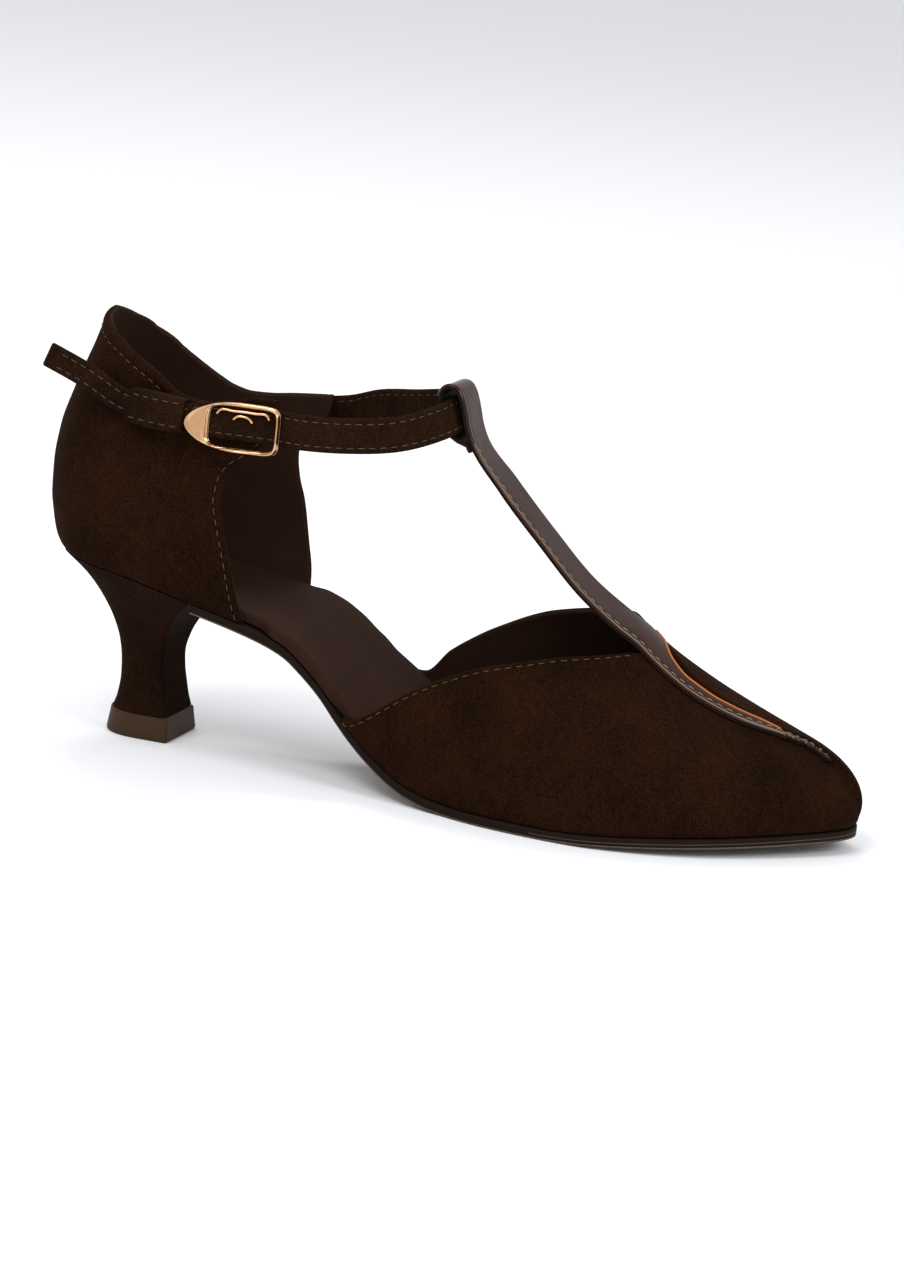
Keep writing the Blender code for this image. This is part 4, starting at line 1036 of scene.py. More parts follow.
def ankle_route():
    """Points of the ankle strap's middle from its inner end to its free end."""
    points = []
    for along, level in ANKLE_INNER_LEVEL:
        x = along * SHOE_LENGTH
        z = level * COLLAR_HEIGHT
        points.append((x, flank_y(INNER, x, z) + CLEARANCE + 0.5 * STRAP_THICKNESS, z))
    for along, across, level in ANKLE_FRONT:
        points.append((along * SHOE_LENGTH, across * BALL_WIDTH, level * COLLAR_HEIGHT))
    for along, level in ANKLE_BACK_LEVEL:
        x = along * SHOE_LENGTH
        z = level * COLLAR_HEIGHT
        points.append((x, flank_y(OUTER, x, z) - STRAP_OUT, z))
    last = np.array(points[-1])
    way = last - np.array(points[-2])
    for along, level in ANKLE_FREE_END:
        x = along * SHOE_LENGTH
        y = last[1] + FREE_END_SWING * way[1] / way[0] * (x - last[0])
        points.append((x, y, level * COLLAR_HEIGHT))
    return points


class AnkleStrap:
    """The ankle strap's middle line with its upward and outward directions."""

    def __init__(self, count):
        self.middle = through(ankle_route(), count)
        along = unit(np.gradient(self.middle, axis=0))
        lean = ease((self.middle[:, 0] / SHOE_LENGTH - LEAN_FROM) / LEAN_OVER)
        inward = -WALL_SLOPE * np.sign(self.middle[:, 1]) * (1 - lean)
        upright = np.stack([-LOOP_LEAN * lean, inward, np.ones(count)], axis=1)
        self.up = unit(upright - along * np.sum(upright * along, axis=1, keepdims=True))
        self.out = np.cross(self.up, along)

    def frame_at(self, x):
        """Middle, upward and outward directions at some places on the outer side."""
        side = self.middle[:, 1] < -0.25 * BALL_WIDTH
        order = np.argsort(self.middle[side][:, 0])
        places = self.middle[side][order][:, 0]
        read = [np.stack([np.interp(x, places, values[side][order][:, k]) for k in range(3)], axis=-1)
                for values in (self.middle, self.up, self.out)]
        return read[0], unit(read[1]), unit(read[2])


def loop_rows(strap):
    """Edge points of the T-strap where it folds round the ankle strap, from its front downwards."""
    index = int(np.argmin(np.abs(strap.middle[:, 1]) + (strap.middle[:, 0] < 0.4 * SHOE_LENGTH)))
    centre = strap.middle[index]
    up = strap.up[index]
    out = strap.out[index]
    across = np.cross(up, out)
    across = across if across[1] > 0 else -across
    layer = 0.5 * (STRAP_THICKNESS + T_STRAP_THICKNESS) + CLEARANCE
    front = layer + LOOP_FRONT
    back = layer + LOOP_BACK
    radius = 0.5 * (front + back)
    middle = 0.5 * (front - back)
    reach = 0.5 * STRAP_WIDTH
    fold = [(layer + 0.0011, -reach - 0.0034), (front - 0.0004, -reach + 0.0004), (front, 0.0)]
    for turn in np.linspace(0.0, math.pi, 7):
        fold.append((middle + radius * math.cos(turn), reach + 0.0004 + radius * math.sin(turn)))
    fold += [(-back, 0.0), (-back, -reach + 0.0006), (-0.5 * layer, -reach - 0.0019)]
    half = 0.5 * T_STRAP_WIDTH
    return [np.concatenate([centre + out * a + up * b - across * half,
                            centre + out * a + up * b + across * half]) for a, b in fold]


class TStrap:
    """The T-strap's middle face: laid on the vamp, then free, round the ankle strap and under itself."""

    def __init__(self, vamp):
        along = T_STRAP_LAID["along"] * SHOE_LENGTH
        share = toward_both(ACROSS_T_STRAP, 8, 0.10)
        lift = CLEARANCE + 0.5 * T_STRAP_THICKNESS

        def laid_at(x, share):
            """Points of the laid part at some places along and shares across."""
            low, high = (T_STRAP_LAID.at(name, x / SHOE_LENGTH)[:, None] * BALL_WIDTH
                         for name in ("near", "far"))
            points, up = vamp.lay(x[:, None] + 0.0 * share, low + (high - low) * share)
            return points + up * lift

        laid = laid_at(np.linspace(along[-1], along[0], LAID_ROWS), share)
        step = (along[-1] - along[0]) / 25.0
        before = laid_at(np.array([along[0] + step, along[0]]), np.array([0.0, 1.0]))
        control = [row.ravel() for row in before]
        for x, low, high, low_up, high_up in T_STRAP_FREE[::-1]:
            control.append(np.array((x * SHOE_LENGTH, low * BALL_WIDTH, low_up * INSTEP_HEIGHT,
                                     x * SHOE_LENGTH, high * BALL_WIDTH, high_up * INSTEP_HEIGHT)))
        fold = loop_rows(AnkleStrap(ROUTE_ROWS))
        path = through(np.array(control + fold), FREE_ROWS, 1)[1:]
        middle = 0.5 * (path[:, :3] + path[:, 3:])
        across = path[:, 3:] - path[:, :3]
        normal = unit(np.cross(np.gradient(middle, axis=0), across))
        tail_from = int(np.argmin(np.linalg.norm(middle - 0.5 * (fold[0][:3] + fold[0][3:]), axis=1)))
        way = way_along(middle)
        count = int(np.sum((way <= way[tail_from]) & (way > way[tail_from] - T_STRAP_TAIL)))
        under = slice(tail_from - 1, tail_from - count, -1)
        below = np.concatenate([normal[under], normal[under]], axis=1) * (T_STRAP_THICKNESS + CLEARANCE)
        rows = np.concatenate([path, path[under] + below])
        free = rows[:, None, :3] + (rows[:, 3:] - rows[:, :3])[:, None] * share[:, None]
        chord = laid[-1, :1] + (laid[-1, -1:] - laid[-1, :1]) * share[:, None]
        fade = 1.0 - ease(way_along(free[:, ACROSS_T_STRAP // 2]) / T_STRAP_FADE)
        free = free + (laid[-1] - chord) * fade[:, None, None]
        self.face = np.concatenate([laid, free])
        self.laid_rows = len(laid)
        self.fold_row = len(laid) + tail_from
        self.out = -normals(self.face)
        cross = row_ways(self.face)
        self.near = cross
        self.far = cross[:, -1:] - cross
        way = way_along(self.face[:, ACROSS_T_STRAP // 2])
        self.end = np.minimum(way, way[-1] - way)[:, None]

    def line(self, from_near, rows, lift):
        """Points and outward directions of a line along the strap at a distance from its near edge."""
        at = np.full((len(self.face), 1), from_near)
        line = read_rows(self.near, self.face, at)[:, 0]
        up = unit(read_rows(self.near, self.out, at)[:, 0])
        return (line + up * lift)[rows], up[rows]


# Sole, insole and heel

def edge_points(side, x, reach):
    """Points of one side of the outline at some stations, moved outwards by reach."""
    px, py, out_x, out_y = side.at_way(side.way_of(x))
    return px + out_x * reach, py + out_y * reach


def slab_grids(stations, reach, radius):
    """Places of a slab on the outline, in plan, and how far its edges draw in to round them off."""
    share = toward_both(ACROSS_SOLE, 12, 0.05)[None, :]
    outer_x, outer_y = edge_points(OUTER, stations, reach)
    inner_x, inner_y = edge_points(INNER, stations, reach)
    x = outer_x[:, None] * (1 - share) + inner_x[:, None] * share
    y = outer_y[:, None] * (1 - share) + inner_y[:, None] * share
    width = np.hypot(outer_x - inner_x, outer_y - inner_y)[:, None]
    return x, y, (1 - rounded(np.minimum(share, 1 - share) * width, radius)) * radius


def sole_stations(start):
    """Places along the sole, closest at its round ends."""
    toe = ROUND_TOE_FROM * SHOE_LENGTH
    first = [start]
    if start <= HEEL_BACK:
        start = ROUND_BACK_TO * SHOE_LENGTH
        turn = np.linspace(0.0, 0.5 * math.pi, ALONG_SOLE // 4)
        first = HEEL_BACK + (start - HEEL_BACK) * (1 - np.cos(turn))
    turn = np.linspace(0.0, 0.5 * math.pi, ALONG_SOLE // 3)
    return np.concatenate([first, np.linspace(start, toe, ALONG_SOLE)[1:],
                           toe + (TOE_TIP - toe) * np.sin(turn[1:])])


def heel_ring(up):
    """One ring of the heel: round behind, straight sides and a flat front, as plan points."""
    back = HEEL.at("back", up) * SHOE_LENGTH
    front = HEEL.at("breast", up) * SHOE_LENGTH
    half = 0.5 * (HEEL_NECK_WIDTH + (SEAT_WIDTH - HEEL_NECK_WIDTH) * HEEL.at("half", up))
    nose = np.minimum(half, HEEL_NOSE * (front - back))
    turn = np.linspace(0.5 * math.pi, 0.0, HALF_HEEL)
    power = 2.0 / HEEL_ROUNDNESS
    x = np.concatenate([[front], back + nose * (1 - np.cos(turn) ** power)])
    y = np.concatenate([[half], half * np.sin(turn) ** power])
    return np.concatenate([x, x[-2::-1]]), np.concatenate([y, -y[-2::-1]])


def heel_rings(ups):
    """Rings of the heel from its tip up. The topmost ones ease over into the seat's outline."""
    last_x, last_y = heel_ring(1.0)
    top_x = np.maximum(np.minimum(last_x, BREAST * SHOE_LENGTH), HEEL_BACK)
    inner_y = INNER.at_way(INNER.way_of(top_x))[1]
    outer_y = OUTER.at_way(OUTER.way_of(top_x))[1]
    top_y = np.where(last_y >= 0, inner_y, outer_y)
    top_y = np.where(np.abs(last_y) < 1e-6, centre_line(HEEL_BACK), top_y)
    top_z = feather_height(top_x, top_y)
    low = HEEL_TIP_HEIGHT + CLEARANCE
    rings = []
    for up in ups:
        x, y = heel_ring(up)
        mix = ease((up - 0.5) / 0.5)
        x = x + (top_x - last_x) * mix
        y = y + (top_y - last_y) * mix
        rings.append(np.stack([x, y, low + (top_z - low) * up], axis=1))
    return np.array(rings)


def even_rings(rings, count, window):
    """Rings read again at even steps with their corners rounded: each point is a mean over a window."""
    made = []
    for ring in rings:
        closed = np.concatenate([ring, ring[:1]])
        way = way_along(closed)
        fine = np.linspace(0.0, way[-1], 8 * count, endpoint=False)
        reach = np.linspace(-0.5, 0.5, 15) * window
        at = (fine[:, None] + reach[None, :]) % way[-1]
        mean = np.stack([np.interp(at, way, closed[:, k]).mean(axis=1) for k in range(3)], axis=1)
        made.append(mean[::8])
    return np.array(made)


# Finishes

class Wire:
    """An output in a shader tree. Arithmetic between outputs and numbers adds maths nodes."""

    def __init__(self, tree, socket):
        self.tree = tree
        self.socket = socket

    def maths(self, operation, *values):
        """A maths node over outputs and numbers."""
        made = self.tree.nodes.new("ShaderNodeMath")
        made.operation = operation
        for value, socket in zip(values, made.inputs):
            if isinstance(value, Wire):
                self.tree.links.new(value.socket, socket)
            else:
                socket.default_value = value
        return Wire(self.tree, made.outputs[0])

    def __add__(self, other):
        return self.maths("ADD", self, other)

    def __radd__(self, other):
        return self.maths("ADD", other, self)

    def __sub__(self, other):
        return self.maths("SUBTRACT", self, other)

    def __mul__(self, other):
        return self.maths("MULTIPLY", self, other)

    def __rmul__(self, other):
        return self.maths("MULTIPLY", other, self)

    def held(self):
        """The value kept between 0 and 1."""
        return self.maths("MINIMUM", self.maths("MAXIMUM", self, 0.0), 1.0)


class Finish:
    """A material with one shader, whose constant values are set by socket name."""

    def __init__(self, name, **values):
        self.material = bpy.data.materials.new(name)
        self.material.use_nodes = True
        self.tree = self.material.node_tree
        self.shader = self.tree.nodes["Principled BSDF"]
        self.place = self.node("ShaderNodeTexCoord", output="Object")
        for key, value in values.items():
            self.shader.inputs[key.replace("_", " ")].default_value = value

    def node(self, kind, settings=None, sockets=None, output=0):
        """A node of any kind: its settings first, then values or outputs for its sockets."""
        made = self.tree.nodes.new(kind)
        for key, value in (settings or {}).items():
            setattr(made, key, value)
        for key, value in (sockets or {}).items():
            if isinstance(value, Wire):
                self.tree.links.new(value.socket, made.inputs[key])
            else:
                made.inputs[key].default_value = value
        return Wire(self.tree, made.outputs[output])

    def noise(self, scale, detail=2.0, rough=0.5, stretch=None):
        """Noise between 0 and 1 over the piece's own place, stretched where wanted."""
        at = self.place
        if stretch:
            at = self.node("ShaderNodeMapping", sockets={"Vector": at, "Scale": stretch})
        return self.node("ShaderNodeTexNoise", sockets={"Vector": at, "Scale": scale, "Detail": detail,
                                                        "Roughness": rough})

    def mix(self, share, first, second):
        """A colour between two others."""
        return self.node("ShaderNodeMix", {"data_type": "RGBA"}, {0: share, 6: first, 7: second}, 2)

    def vary(self, name, wire):
        """A value of the shader that an output drives."""
        self.tree.links.new(wire.socket, self.shader.inputs[name])
        return self

    def bump(self, height, distance, strength):
        """Fine relief from a height between 0 and 1."""
        made = self.node("ShaderNodeBump", sockets={"Height": height, "Distance": distance,
                                                    "Strength": strength})
        return self.vary("Normal", made)


def colour(red, green, blue):
    """A colour from its display values between 0 and 255."""
    parts = [value / 255.0 for value in (red, green, blue)]
    return tuple(part / 12.92 if part <= 0.04045 else ((part + 0.055) / 1.055) ** 2.4
                 for part in parts) + (1.0,)


def suede(name, dark, light, nap=1.0):
    """Napped leather: faint patches where the nap was brushed over, and a fine velvety grain."""
    made = Finish(name, Roughness=0.95, Specular_IOR_Level=0.03, Sheen_Weight=0.03,
                  Sheen_Roughness=0.5, Sheen_Tint=colour(110, 70, 40))
    patches = made.noise(55.0, 3.0, 0.5)
    streaks = made.noise(480.0, 3.0, 0.6, (1.0, 1.0, 0.45))
    grain = made.noise(1700.0, 5.0, 0.85)
    share = ((patches - 0.5) * 0.9 + (streaks - 0.5) * 0.5 + (grain - 0.5) * 3.2 + 0.34).held()
    made.vary("Base Color", made.mix(share, dark, light))
    made.vary("Roughness", 0.90 + 0.1 * grain)
    made.bump(grain + 0.5 * streaks, 0.00012 * nap, 0.9)
    return made.material


def patent(name, base):
    """Glossy varnished leather with a faint unevenness."""
    made = Finish(name, Roughness=0.14, Specular_IOR_Level=0.14, Coat_Weight=0.06, Coat_Roughness=0.05)
    wave = made.noise(150.0, 2.0, 0.5)
    made.vary("Base Color", made.mix(made.noise(300.0), base, tuple(1.4 * v for v in base[:3]) + (1.0,)))
    made.vary("Roughness", 0.11 + 0.08 * made.noise(900.0))
    made.bump(wave, 0.00030, 0.5)
    return made.material


def smooth_leather(name, base, rough=0.55, grain_depth=0.00006):
    """Smooth lining or sock leather with a very fine grain."""
    made = Finish(name, Roughness=rough, Specular_IOR_Level=0.07)
    lighter = tuple(1.45 * v for v in base[:3]) + (1.0,)
    made.vary("Base Color", made.mix(made.noise(140.0, 3.0), base, lighter))
    grain = made.noise(1900.0, 3.0, 0.6)
    made.vary("Roughness", rough - 0.08 + 0.16 * grain)
    made.bump(grain, grain_depth, 0.6)
    return made.material


def thread(name, base):
    """Twisted sewing thread."""
    made = Finish(name, Roughness=0.7, Specular_IOR_Level=0.2)
    twist = made.noise(5200.0, 1.0)
    made.vary("Base Color", made.mix(twist, tuple(0.6 * v for v in base[:3]) + (1.0,), base))
    made.bump(twist, 0.00008, 0.6)
    return made.material


def gilt(name, base):
    """Polished gilt metal, very slightly uneven."""
    made = Finish(name, Metallic=1.0, Roughness=0.2)
    made.vary("Base Color", made.mix(made.noise(400.0), base, tuple(0.8 * v for v in base[:3]) + (1.0,)))
    made.vary("Roughness", 0.13 + 0.14 * made.noise(800.0))
    return made.material


UPPER_SUEDE = suede("upper_suede", colour(15, 7, 3), colour(48, 25, 12))
HEEL_SUEDE = suede("heel_suede", colour(15, 7, 4), colour(44, 24, 13))
STRAP_SUEDE = suede("strap_suede", colour(16, 9, 5), colour(50, 30, 17))
LINING = smooth_leather("lining", colour(36, 21, 13), 0.85)
SOCK = smooth_leather("sock", colour(38, 22, 15), 0.8)
PATENT = patent("patent", colour(40, 21, 16))
UNDER_PATENT = smooth_leather("strap_lining", colour(22, 14, 11), 0.5)
# Painted highlight: the warm amber glint along the T-strap's far edge, coloured in on the lining's edge
AMBER_HIGHLIGHT = smooth_leather("painted_amber_highlight", colour(158, 92, 44), 0.5)
SOLE_EDGE_DARK = smooth_leather("sole_edge", colour(22, 14, 10), 0.7)
SOLE_LINE = smooth_leather("sole_edge_line", colour(74, 60, 47), 0.6)
TREAD = suede("tread", colour(70, 60, 52), colour(120, 106, 92), 1.6)
TIP = smooth_leather("heel_tip_rubber", colour(54, 39, 27), 0.5)
GOLD = gilt("rose_gilt", colour(226, 178, 134))
# Beige thread for the stitches, and for the light line on the bead that carries its painted highlight
THREAD_BEIGE = thread("beige_thread", colour(140, 120, 95))
THREAD_BROWN = thread("brown_thread", colour(84, 70, 56))


# Pieces

def make_quarter():
    """The quarter: one wall round the heel, with folded edges and its rows of stitches."""
    quarter = Quarter()
    form = Form()
    edge = np.minimum(quarter.from_collar, quarter.from_front)
    add_wall(form, quarter.face, quarter.inward, QUARTER_WALL, edge, quarter.relief(),
             [np.s_[:, 0]])
    form.make("quarter", [UPPER_SUEDE, LINING], "upper_quarter")
    rows = Form()
    turned = [grid.swapaxes(0, 1) for grid in (quarter.face, quarter.inward, quarter.from_collar)]
    for line, up in (edge_row(quarter.face, quarter.inward, quarter.from_front, COLLAR_ROW, FRONT_ROW),
                     edge_row(*turned, FRONT_ROW, COLLAR_MARGIN, False),
                     edge_row(*turned, FRONT_ROW, COLLAR_MARGIN)):
        add_stitches(rows, line, up)
    rows.make("quarter_stitches", [THREAD_BROWN])


def make_vamp(vamp):
    """The vamp: two panels over the toes that part at the leaf-shaped opening and behind the throat."""
    form = Form()
    for inner in (False, True):
        face, up, edge = vamp.panel(inner)
        away = edge + 2.0 * VAMP_WALL * (1 - vamp.open)[:, None]
        raised = PANEL_RAISED * ease((0.004 - edge) / 0.003) if inner else 0.0
        relief = raised + roll(edge, TOP_LINE_ROLL) - roll(edge, TOP_LINE_DENT)
        relief = relief * vamp.open[:, None] * rounded(edge, 0.5 * VAMP_WALL)
        add_wall(form, face, -up, VAMP_WALL, away, relief, [np.s_[:, 0], np.s_[0]])
    form.make("vamp", [UPPER_SUEDE, LINING], "upper_vamp")
    rows = Form()
    clear = vamp.x0 < THROAT * SHOE_LENGTH - 0.003
    for at in (vamp.low - TOP_LINE_ROW, vamp.high + TOP_LINE_ROW):
        line = read_rows(vamp.way, vamp.whole, at[:, None])[:, 0]
        up = unit(read_rows(vamp.way, vamp.up, at[:, None])[:, 0])
        add_stitches(rows, line[clear], up[clear])
    rows.make("vamp_stitches", [THREAD_BROWN])


def make_ankle_strap(strap):
    """The ankle strap: folded suede with both edges stitched, narrower from the buckle to its end."""
    x = strap.middle[:, 0]
    free = ease((BUCKLE_FROM * SHOE_LENGTH + NARROWING - x) / NARROWING) * (strap.middle[:, 1] < 0)
    width = STRAP_WIDTH + (STRAP_END_WIDTH - STRAP_WIDTH) * free
    way = way_along(strap.middle)
    end = np.minimum(way, way[-1] - way)
    width = width - STRAP_CORNER[0] * (1 - rounded(way[-1] - way, STRAP_CORNER[1]))
    share = toward_both(33, 9, 0.12)
    across = (share - 0.5)[None, :] * width[:, None]
    centre = strap.middle[:, None] + strap.up[:, None] * across[..., None]
    edge = np.minimum(0.5 * width[:, None] - np.abs(across), end[:, None])
    out = np.broadcast_to(strap.out[:, None], centre.shape)
    groove = -roll(edge, STRAP_DENT)
    form = Form()
    add_ribbon(form, centre, out, edge, STRAP_THICKNESS, STRAP_FOLD, groove)
    form.make("ankle_strap", [STRAP_SUEDE], "ankle_strap")
    rows = Form()
    clear = (way > 0.003) & (way < way[-1] - 0.0035)
    for sign in (-1, 1):
        for face in (-1, 1):
            line = (strap.middle + strap.up * (sign * (0.5 * width - STRAP_ROW))[:, None]
                    + strap.out * face * (0.5 * STRAP_THICKNESS - 0.00012))
            add_stitches(rows, line[clear], strap.out[clear] * face)
    rows.make("ankle_strap_stitches", [THREAD_BROWN])


def make_keeper():
    """The suede sleeve that holds the strap's free end."""
    strap = AnkleStrap(ROUTE_ROWS)
    start = KEEPER_FROM * SHOE_LENGTH
    share = toward_both(25, 6, 0.08)
    point, up, out = strap.frame_at(start + KEEPER_LENGTH * share)
    half = 0.5 * STRAP_END_WIDTH + CLEARANCE
    thick = 0.5 * STRAP_THICKNESS + CLEARANCE
    turn = np.linspace(0.0, 2 * math.pi, 48, endpoint=False)
    c = powered(np.cos(turn), KEEPER_POWER)
    s = powered(np.sin(turn), KEEPER_POWER)
    end = np.minimum(share, 1 - share) * KEEPER_LENGTH
    form = Form()
    puff = KEEPER_PUFF * np.sin(math.pi * share) ** 0.7
    for grow in (1.0, 0.0):
        wall = KEEPER_WALL * (0.5 + (grow - 0.5) * rounded(end, 0.5 * KEEPER_WALL)) + puff * grow
        a = (half + wall)[:, None] * c
        b = (thick + wall)[:, None] * s
        form.add(point[:, None] + up[:, None] * a[..., None] + out[:, None] * b[..., None], around=True)
    form.make("strap_keeper", [STRAP_SUEDE], "strap_keeper")
    rows = Form()
    for sign in (-1, 1):
        line = (point + up * (sign * (half - KEEPER_ROW))
                + out * (thick + 0.86 * KEEPER_WALL + puff)[:, None])
        add_stitches(rows, line[4:-4], out[4:-4])
    rows.make("keeper_stitches", [THREAD_BROWN])


def make_t_strap(tee):
    """The T-strap: a patent face on a lining whose far edge carries a painted amber highlight, a light
    beige line on the bead that stands for a piping and for its painted highlight, and rows of stitches.
    """
    top = PATENT_SHARE * T_STRAP_THICKNESS
    under = T_STRAP_THICKNESS - top
    edge = np.minimum(np.minimum(tee.near, tee.far), tee.end)
    bead = roll(tee.near, T_STRAP_ROLL) - roll(tee.near, T_STRAP_DENT)
    form = Form()
    middle = tee.face + tee.out * 0.5 * (T_STRAP_THICKNESS - top)
    add_ribbon(form, middle, tee.out, edge, top, 0.0005, bead)
    form.make("t_strap", [PATENT], "t_strap")
    lining = Form()
    lower = tee.face - tee.out * 0.5 * (T_STRAP_THICKNESS - under)
    across = unit(tee.face[:, -1:] - tee.face[:, :1])
    wide = 1.0 - 2.0 * tee.near / (tee.near + tee.far)
    lower = lower - across * (0.0003 * wide)[..., None]
    rows = np.arange(len(tee.face) - 1)[:, None]
    ring = 2 * tee.face.shape[1]
    columns = np.arange(ring)[None, :]
    # The lining's far columns in the laid part carry the painted amber highlight
    far = np.abs(columns - tee.face.shape[1]) < AMBER_COLUMNS
    amber = (far & (rows < tee.laid_rows)).astype(int)
    add_ribbon(lining, lower, tee.out, edge, under, 0.0003, mark=amber)
    # A wire along the far edge of the laid part carries the painted amber highlight as well
    edge_rows = slice(int(AMBER_FROM * tee.laid_rows), tee.laid_rows)
    rim = tee.face[edge_rows, -1] + tee.out[edge_rows, -1] * 0.35 * T_STRAP_THICKNESS
    shift = across[edge_rows, 0] * 0.0002
    add_wire(lining, rim + shift, AMBER_WIRE, 10, 1)
    lining.make("t_strap_lining", [UNDER_PATENT, AMBER_HIGHLIGHT])
    stitches = Form()
    line, up = tee.line(T_STRAP_ROW, slice(8, tee.fold_row - 4), 0.5 * T_STRAP_THICKNESS - 0.0001)
    add_stitches(stitches, line, up, T_STRAP_THREAD)
    # A light beige wire on the bead: a piping, and the painted highlight of the patent's rolled edge
    line, _ = tee.line(T_STRAP_BEAD, slice(4, tee.fold_row), 0.5 * T_STRAP_THICKNESS + 0.00005)
    add_wire(stitches, line, BEAD_PIPING_AND_HIGHLIGHT_WIRE, 8)
    stitches.make("t_strap_stitches", [THREAD_BEIGE])


def face_profile(d, width):
    """Height of the buckle's face over its width: rounded edges with a lower rim at the window."""
    drop, rim, over = RIM_STEP
    return rounded(np.minimum(d, width - d), BUCKLE_ROUND) * (1.0 - drop * ease((d - width + rim) / over))


def head_field(d, width):
    """Depth of the plain field that is sunk into the buckle's head."""
    depth, margin, over = HEAD_FIELD
    return depth * ease((np.minimum(d, width - d) - margin) / over)


def make_buckle():
    """The buckle: a window with round corners, a pointed head plate with a plain sunk field, its bar
    with small hooks and the arched prong."""
    strap = AnkleStrap(ROUTE_ROWS)
    start = BUCKLE_FROM * SHOE_LENGTH
    half_height = 0.5 * BUCKLE_HEIGHT
    window_half = WINDOW_HALF * BUCKLE_LENGTH
    window_x = BUCKLE_LENGTH - BUCKLE_WIRE - window_half
    turn = 2 * math.pi * (np.arange(168) + 0.5) / 168
    c = np.cos(turn)
    s = np.sin(turn)

    finer = WINDOW_WIDENED * BUCKLE_WIRE
    window = np.stack([window_x + (window_half + finer) * powered(c, WINDOW_POWER),
                       (half_height - BUCKLE_WIRE + finer) * powered(s, WINDOW_POWER)], axis=1)
    front = np.stack([window_x + (window_half + BUCKLE_WIRE) * powered(c, WINDOW_POWER),
                      half_height * powered(s, WINDOW_POWER)], axis=1)
    head = np.stack([window_x + window_x * powered(c, HEAD_POWERS[0]),
                     half_height * powered(s, HEAD_POWERS[1])], axis=1)
    outer = np.where(c[:, None] >= 0, front, head)
    width = np.linalg.norm(window - outer, axis=1)[:, None]
    share = toward_both(29, 8, 0.12)[None, :]
    place = outer[:, None] + (window - outer)[:, None] * share[..., None]
    d = share * width
    height = BUCKLE_THICKNESS * face_profile(d, width) - head_field(d, width)
    point, up, out = strap.frame_at(start + place[..., 0])
    base = point + up * (place[..., 1:] - BUCKLE_DROP) + out * (0.5 * STRAP_THICKNESS + CLEARANCE)
    side = np.minimum(d, width - d)
    low = base + out * (BUCKLE_EDGE * (1 - rounded(side, 0.0004)))[..., None]
    high = base + out * np.maximum(height, BUCKLE_EDGE)[..., None]
    form = Form()
    loop = np.concatenate([high, low[:, ::-1]], axis=1)
    form.add(np.concatenate([loop, loop[:1]]), around=True)
    form.make("buckle_frame", [GOLD], "buckle_frame")

    lift = CLEARANCE + 0.5 * PRONG_WIRE
    top = half_height - BUCKLE_WIRE - CLEARANCE - 0.5 * PRONG_WIRE
    for name, route in (("buckle_bar", BAR_ROUTE), ("buckle_prong", PRONG_ROUTE)):
        along, below = np.array(route).T
        point, up, out = strap.frame_at(start + along * BUCKLE_LENGTH)
        core = (point + up * (top - below - BUCKLE_DROP)[:, None]
                + out * (0.5 * STRAP_THICKNESS + lift))
        form = Form()
        add_wire(form, through(core, 60), SLIM * PRONG_WIRE)
        form.make(name, [GOLD], name)


def make_outsole():
    """The outsole: napped tread, dark edge with a fine light line, rounded corners."""
    stations = sole_stations(BREAST * SHOE_LENGTH + CLEARANCE)
    reach = SOLE_EDGE * ease((stations / SHOE_LENGTH - PROUD_FROM) / PROUD_OVER)
    x, y, round_off = slab_grids(stations, reach, SOLE_CORNER)
    top = feather_height(x, y)
    upper = np.stack([x, y, top - round_off], axis=2)
    lower = np.stack([x, y, top - SOLE_THICKNESS + round_off], axis=2)
    form = Form()
    form.add(upper)
    form.add(lower, 1)
    for line in (np.s_[:, 0], np.s_[:, -1], np.s_[0]):
        first = upper[line][None]
        last = lower[line][None]
        share = np.array([0.0, 0.42, 0.54, 1.0])[:, None, None]
        band = first * (1 - share) + last * share
        ahead = 0.5 * (band[0, 1:, 0] + band[0, :-1, 0]) > SOLE_LINE_FROM * SHOE_LENGTH
        form.add(band, np.array([0, 2, 0])[:, None] * ahead)
    form.make("outsole", [SOLE_EDGE_DARK, TREAD, SOLE_LINE], "outsole")


def make_insole():
    """The padded insole, with a rounded edge."""
    stations = sole_stations(HEEL_BACK)
    share = stations / SHOE_LENGTH
    waist = ease((share - WAIST_FROM) / WAIST_EASE) * ease((WAIST_TO - share) / WAIST_EASE)
    wall = np.where(share < WALL_CHANGE, QUARTER_WALL, VAMP_WALL)
    reach = -(wall + 2.0 * CLEARANCE) * (1 - waist) - CLEARANCE * waist
    x, y, round_off = slab_grids(stations, reach, INSOLE_CORNER)
    slope = (feather_height(x + 0.001, y) - feather_height(x - 0.001, y)) / 0.002
    steep = np.sqrt(1 + slope ** 2)
    base = feather_height(x, y)
    upper = np.stack([x, y, base + (CLEARANCE + INSOLE_THICKNESS) * steep - round_off], axis=2)
    lower = np.stack([x, y, base + CLEARANCE * steep + 0.3 * round_off], axis=2)
    form = Form()
    form.add(upper)
    form.add(lower)
    for line in (np.s_[:, 0], np.s_[:, -1]):
        form.add(np.stack([upper[line], lower[line]]))
    form.make("insole", [SOCK], "insole", crease=60)


def make_heel():
    """The covered heel: a waisted neck flaring into the seat, with soft front corners."""
    ups = np.concatenate([np.linspace(0.0, 0.02, 5)[:-1], np.linspace(0.02, 1.0, 110)])
    form = Form()
    add_rings(form, even_rings(heel_rings(ups), ROUND_HEEL, HEEL_CORNER))
    form.make("heel", [HEEL_SUEDE], "heel", crease=50)


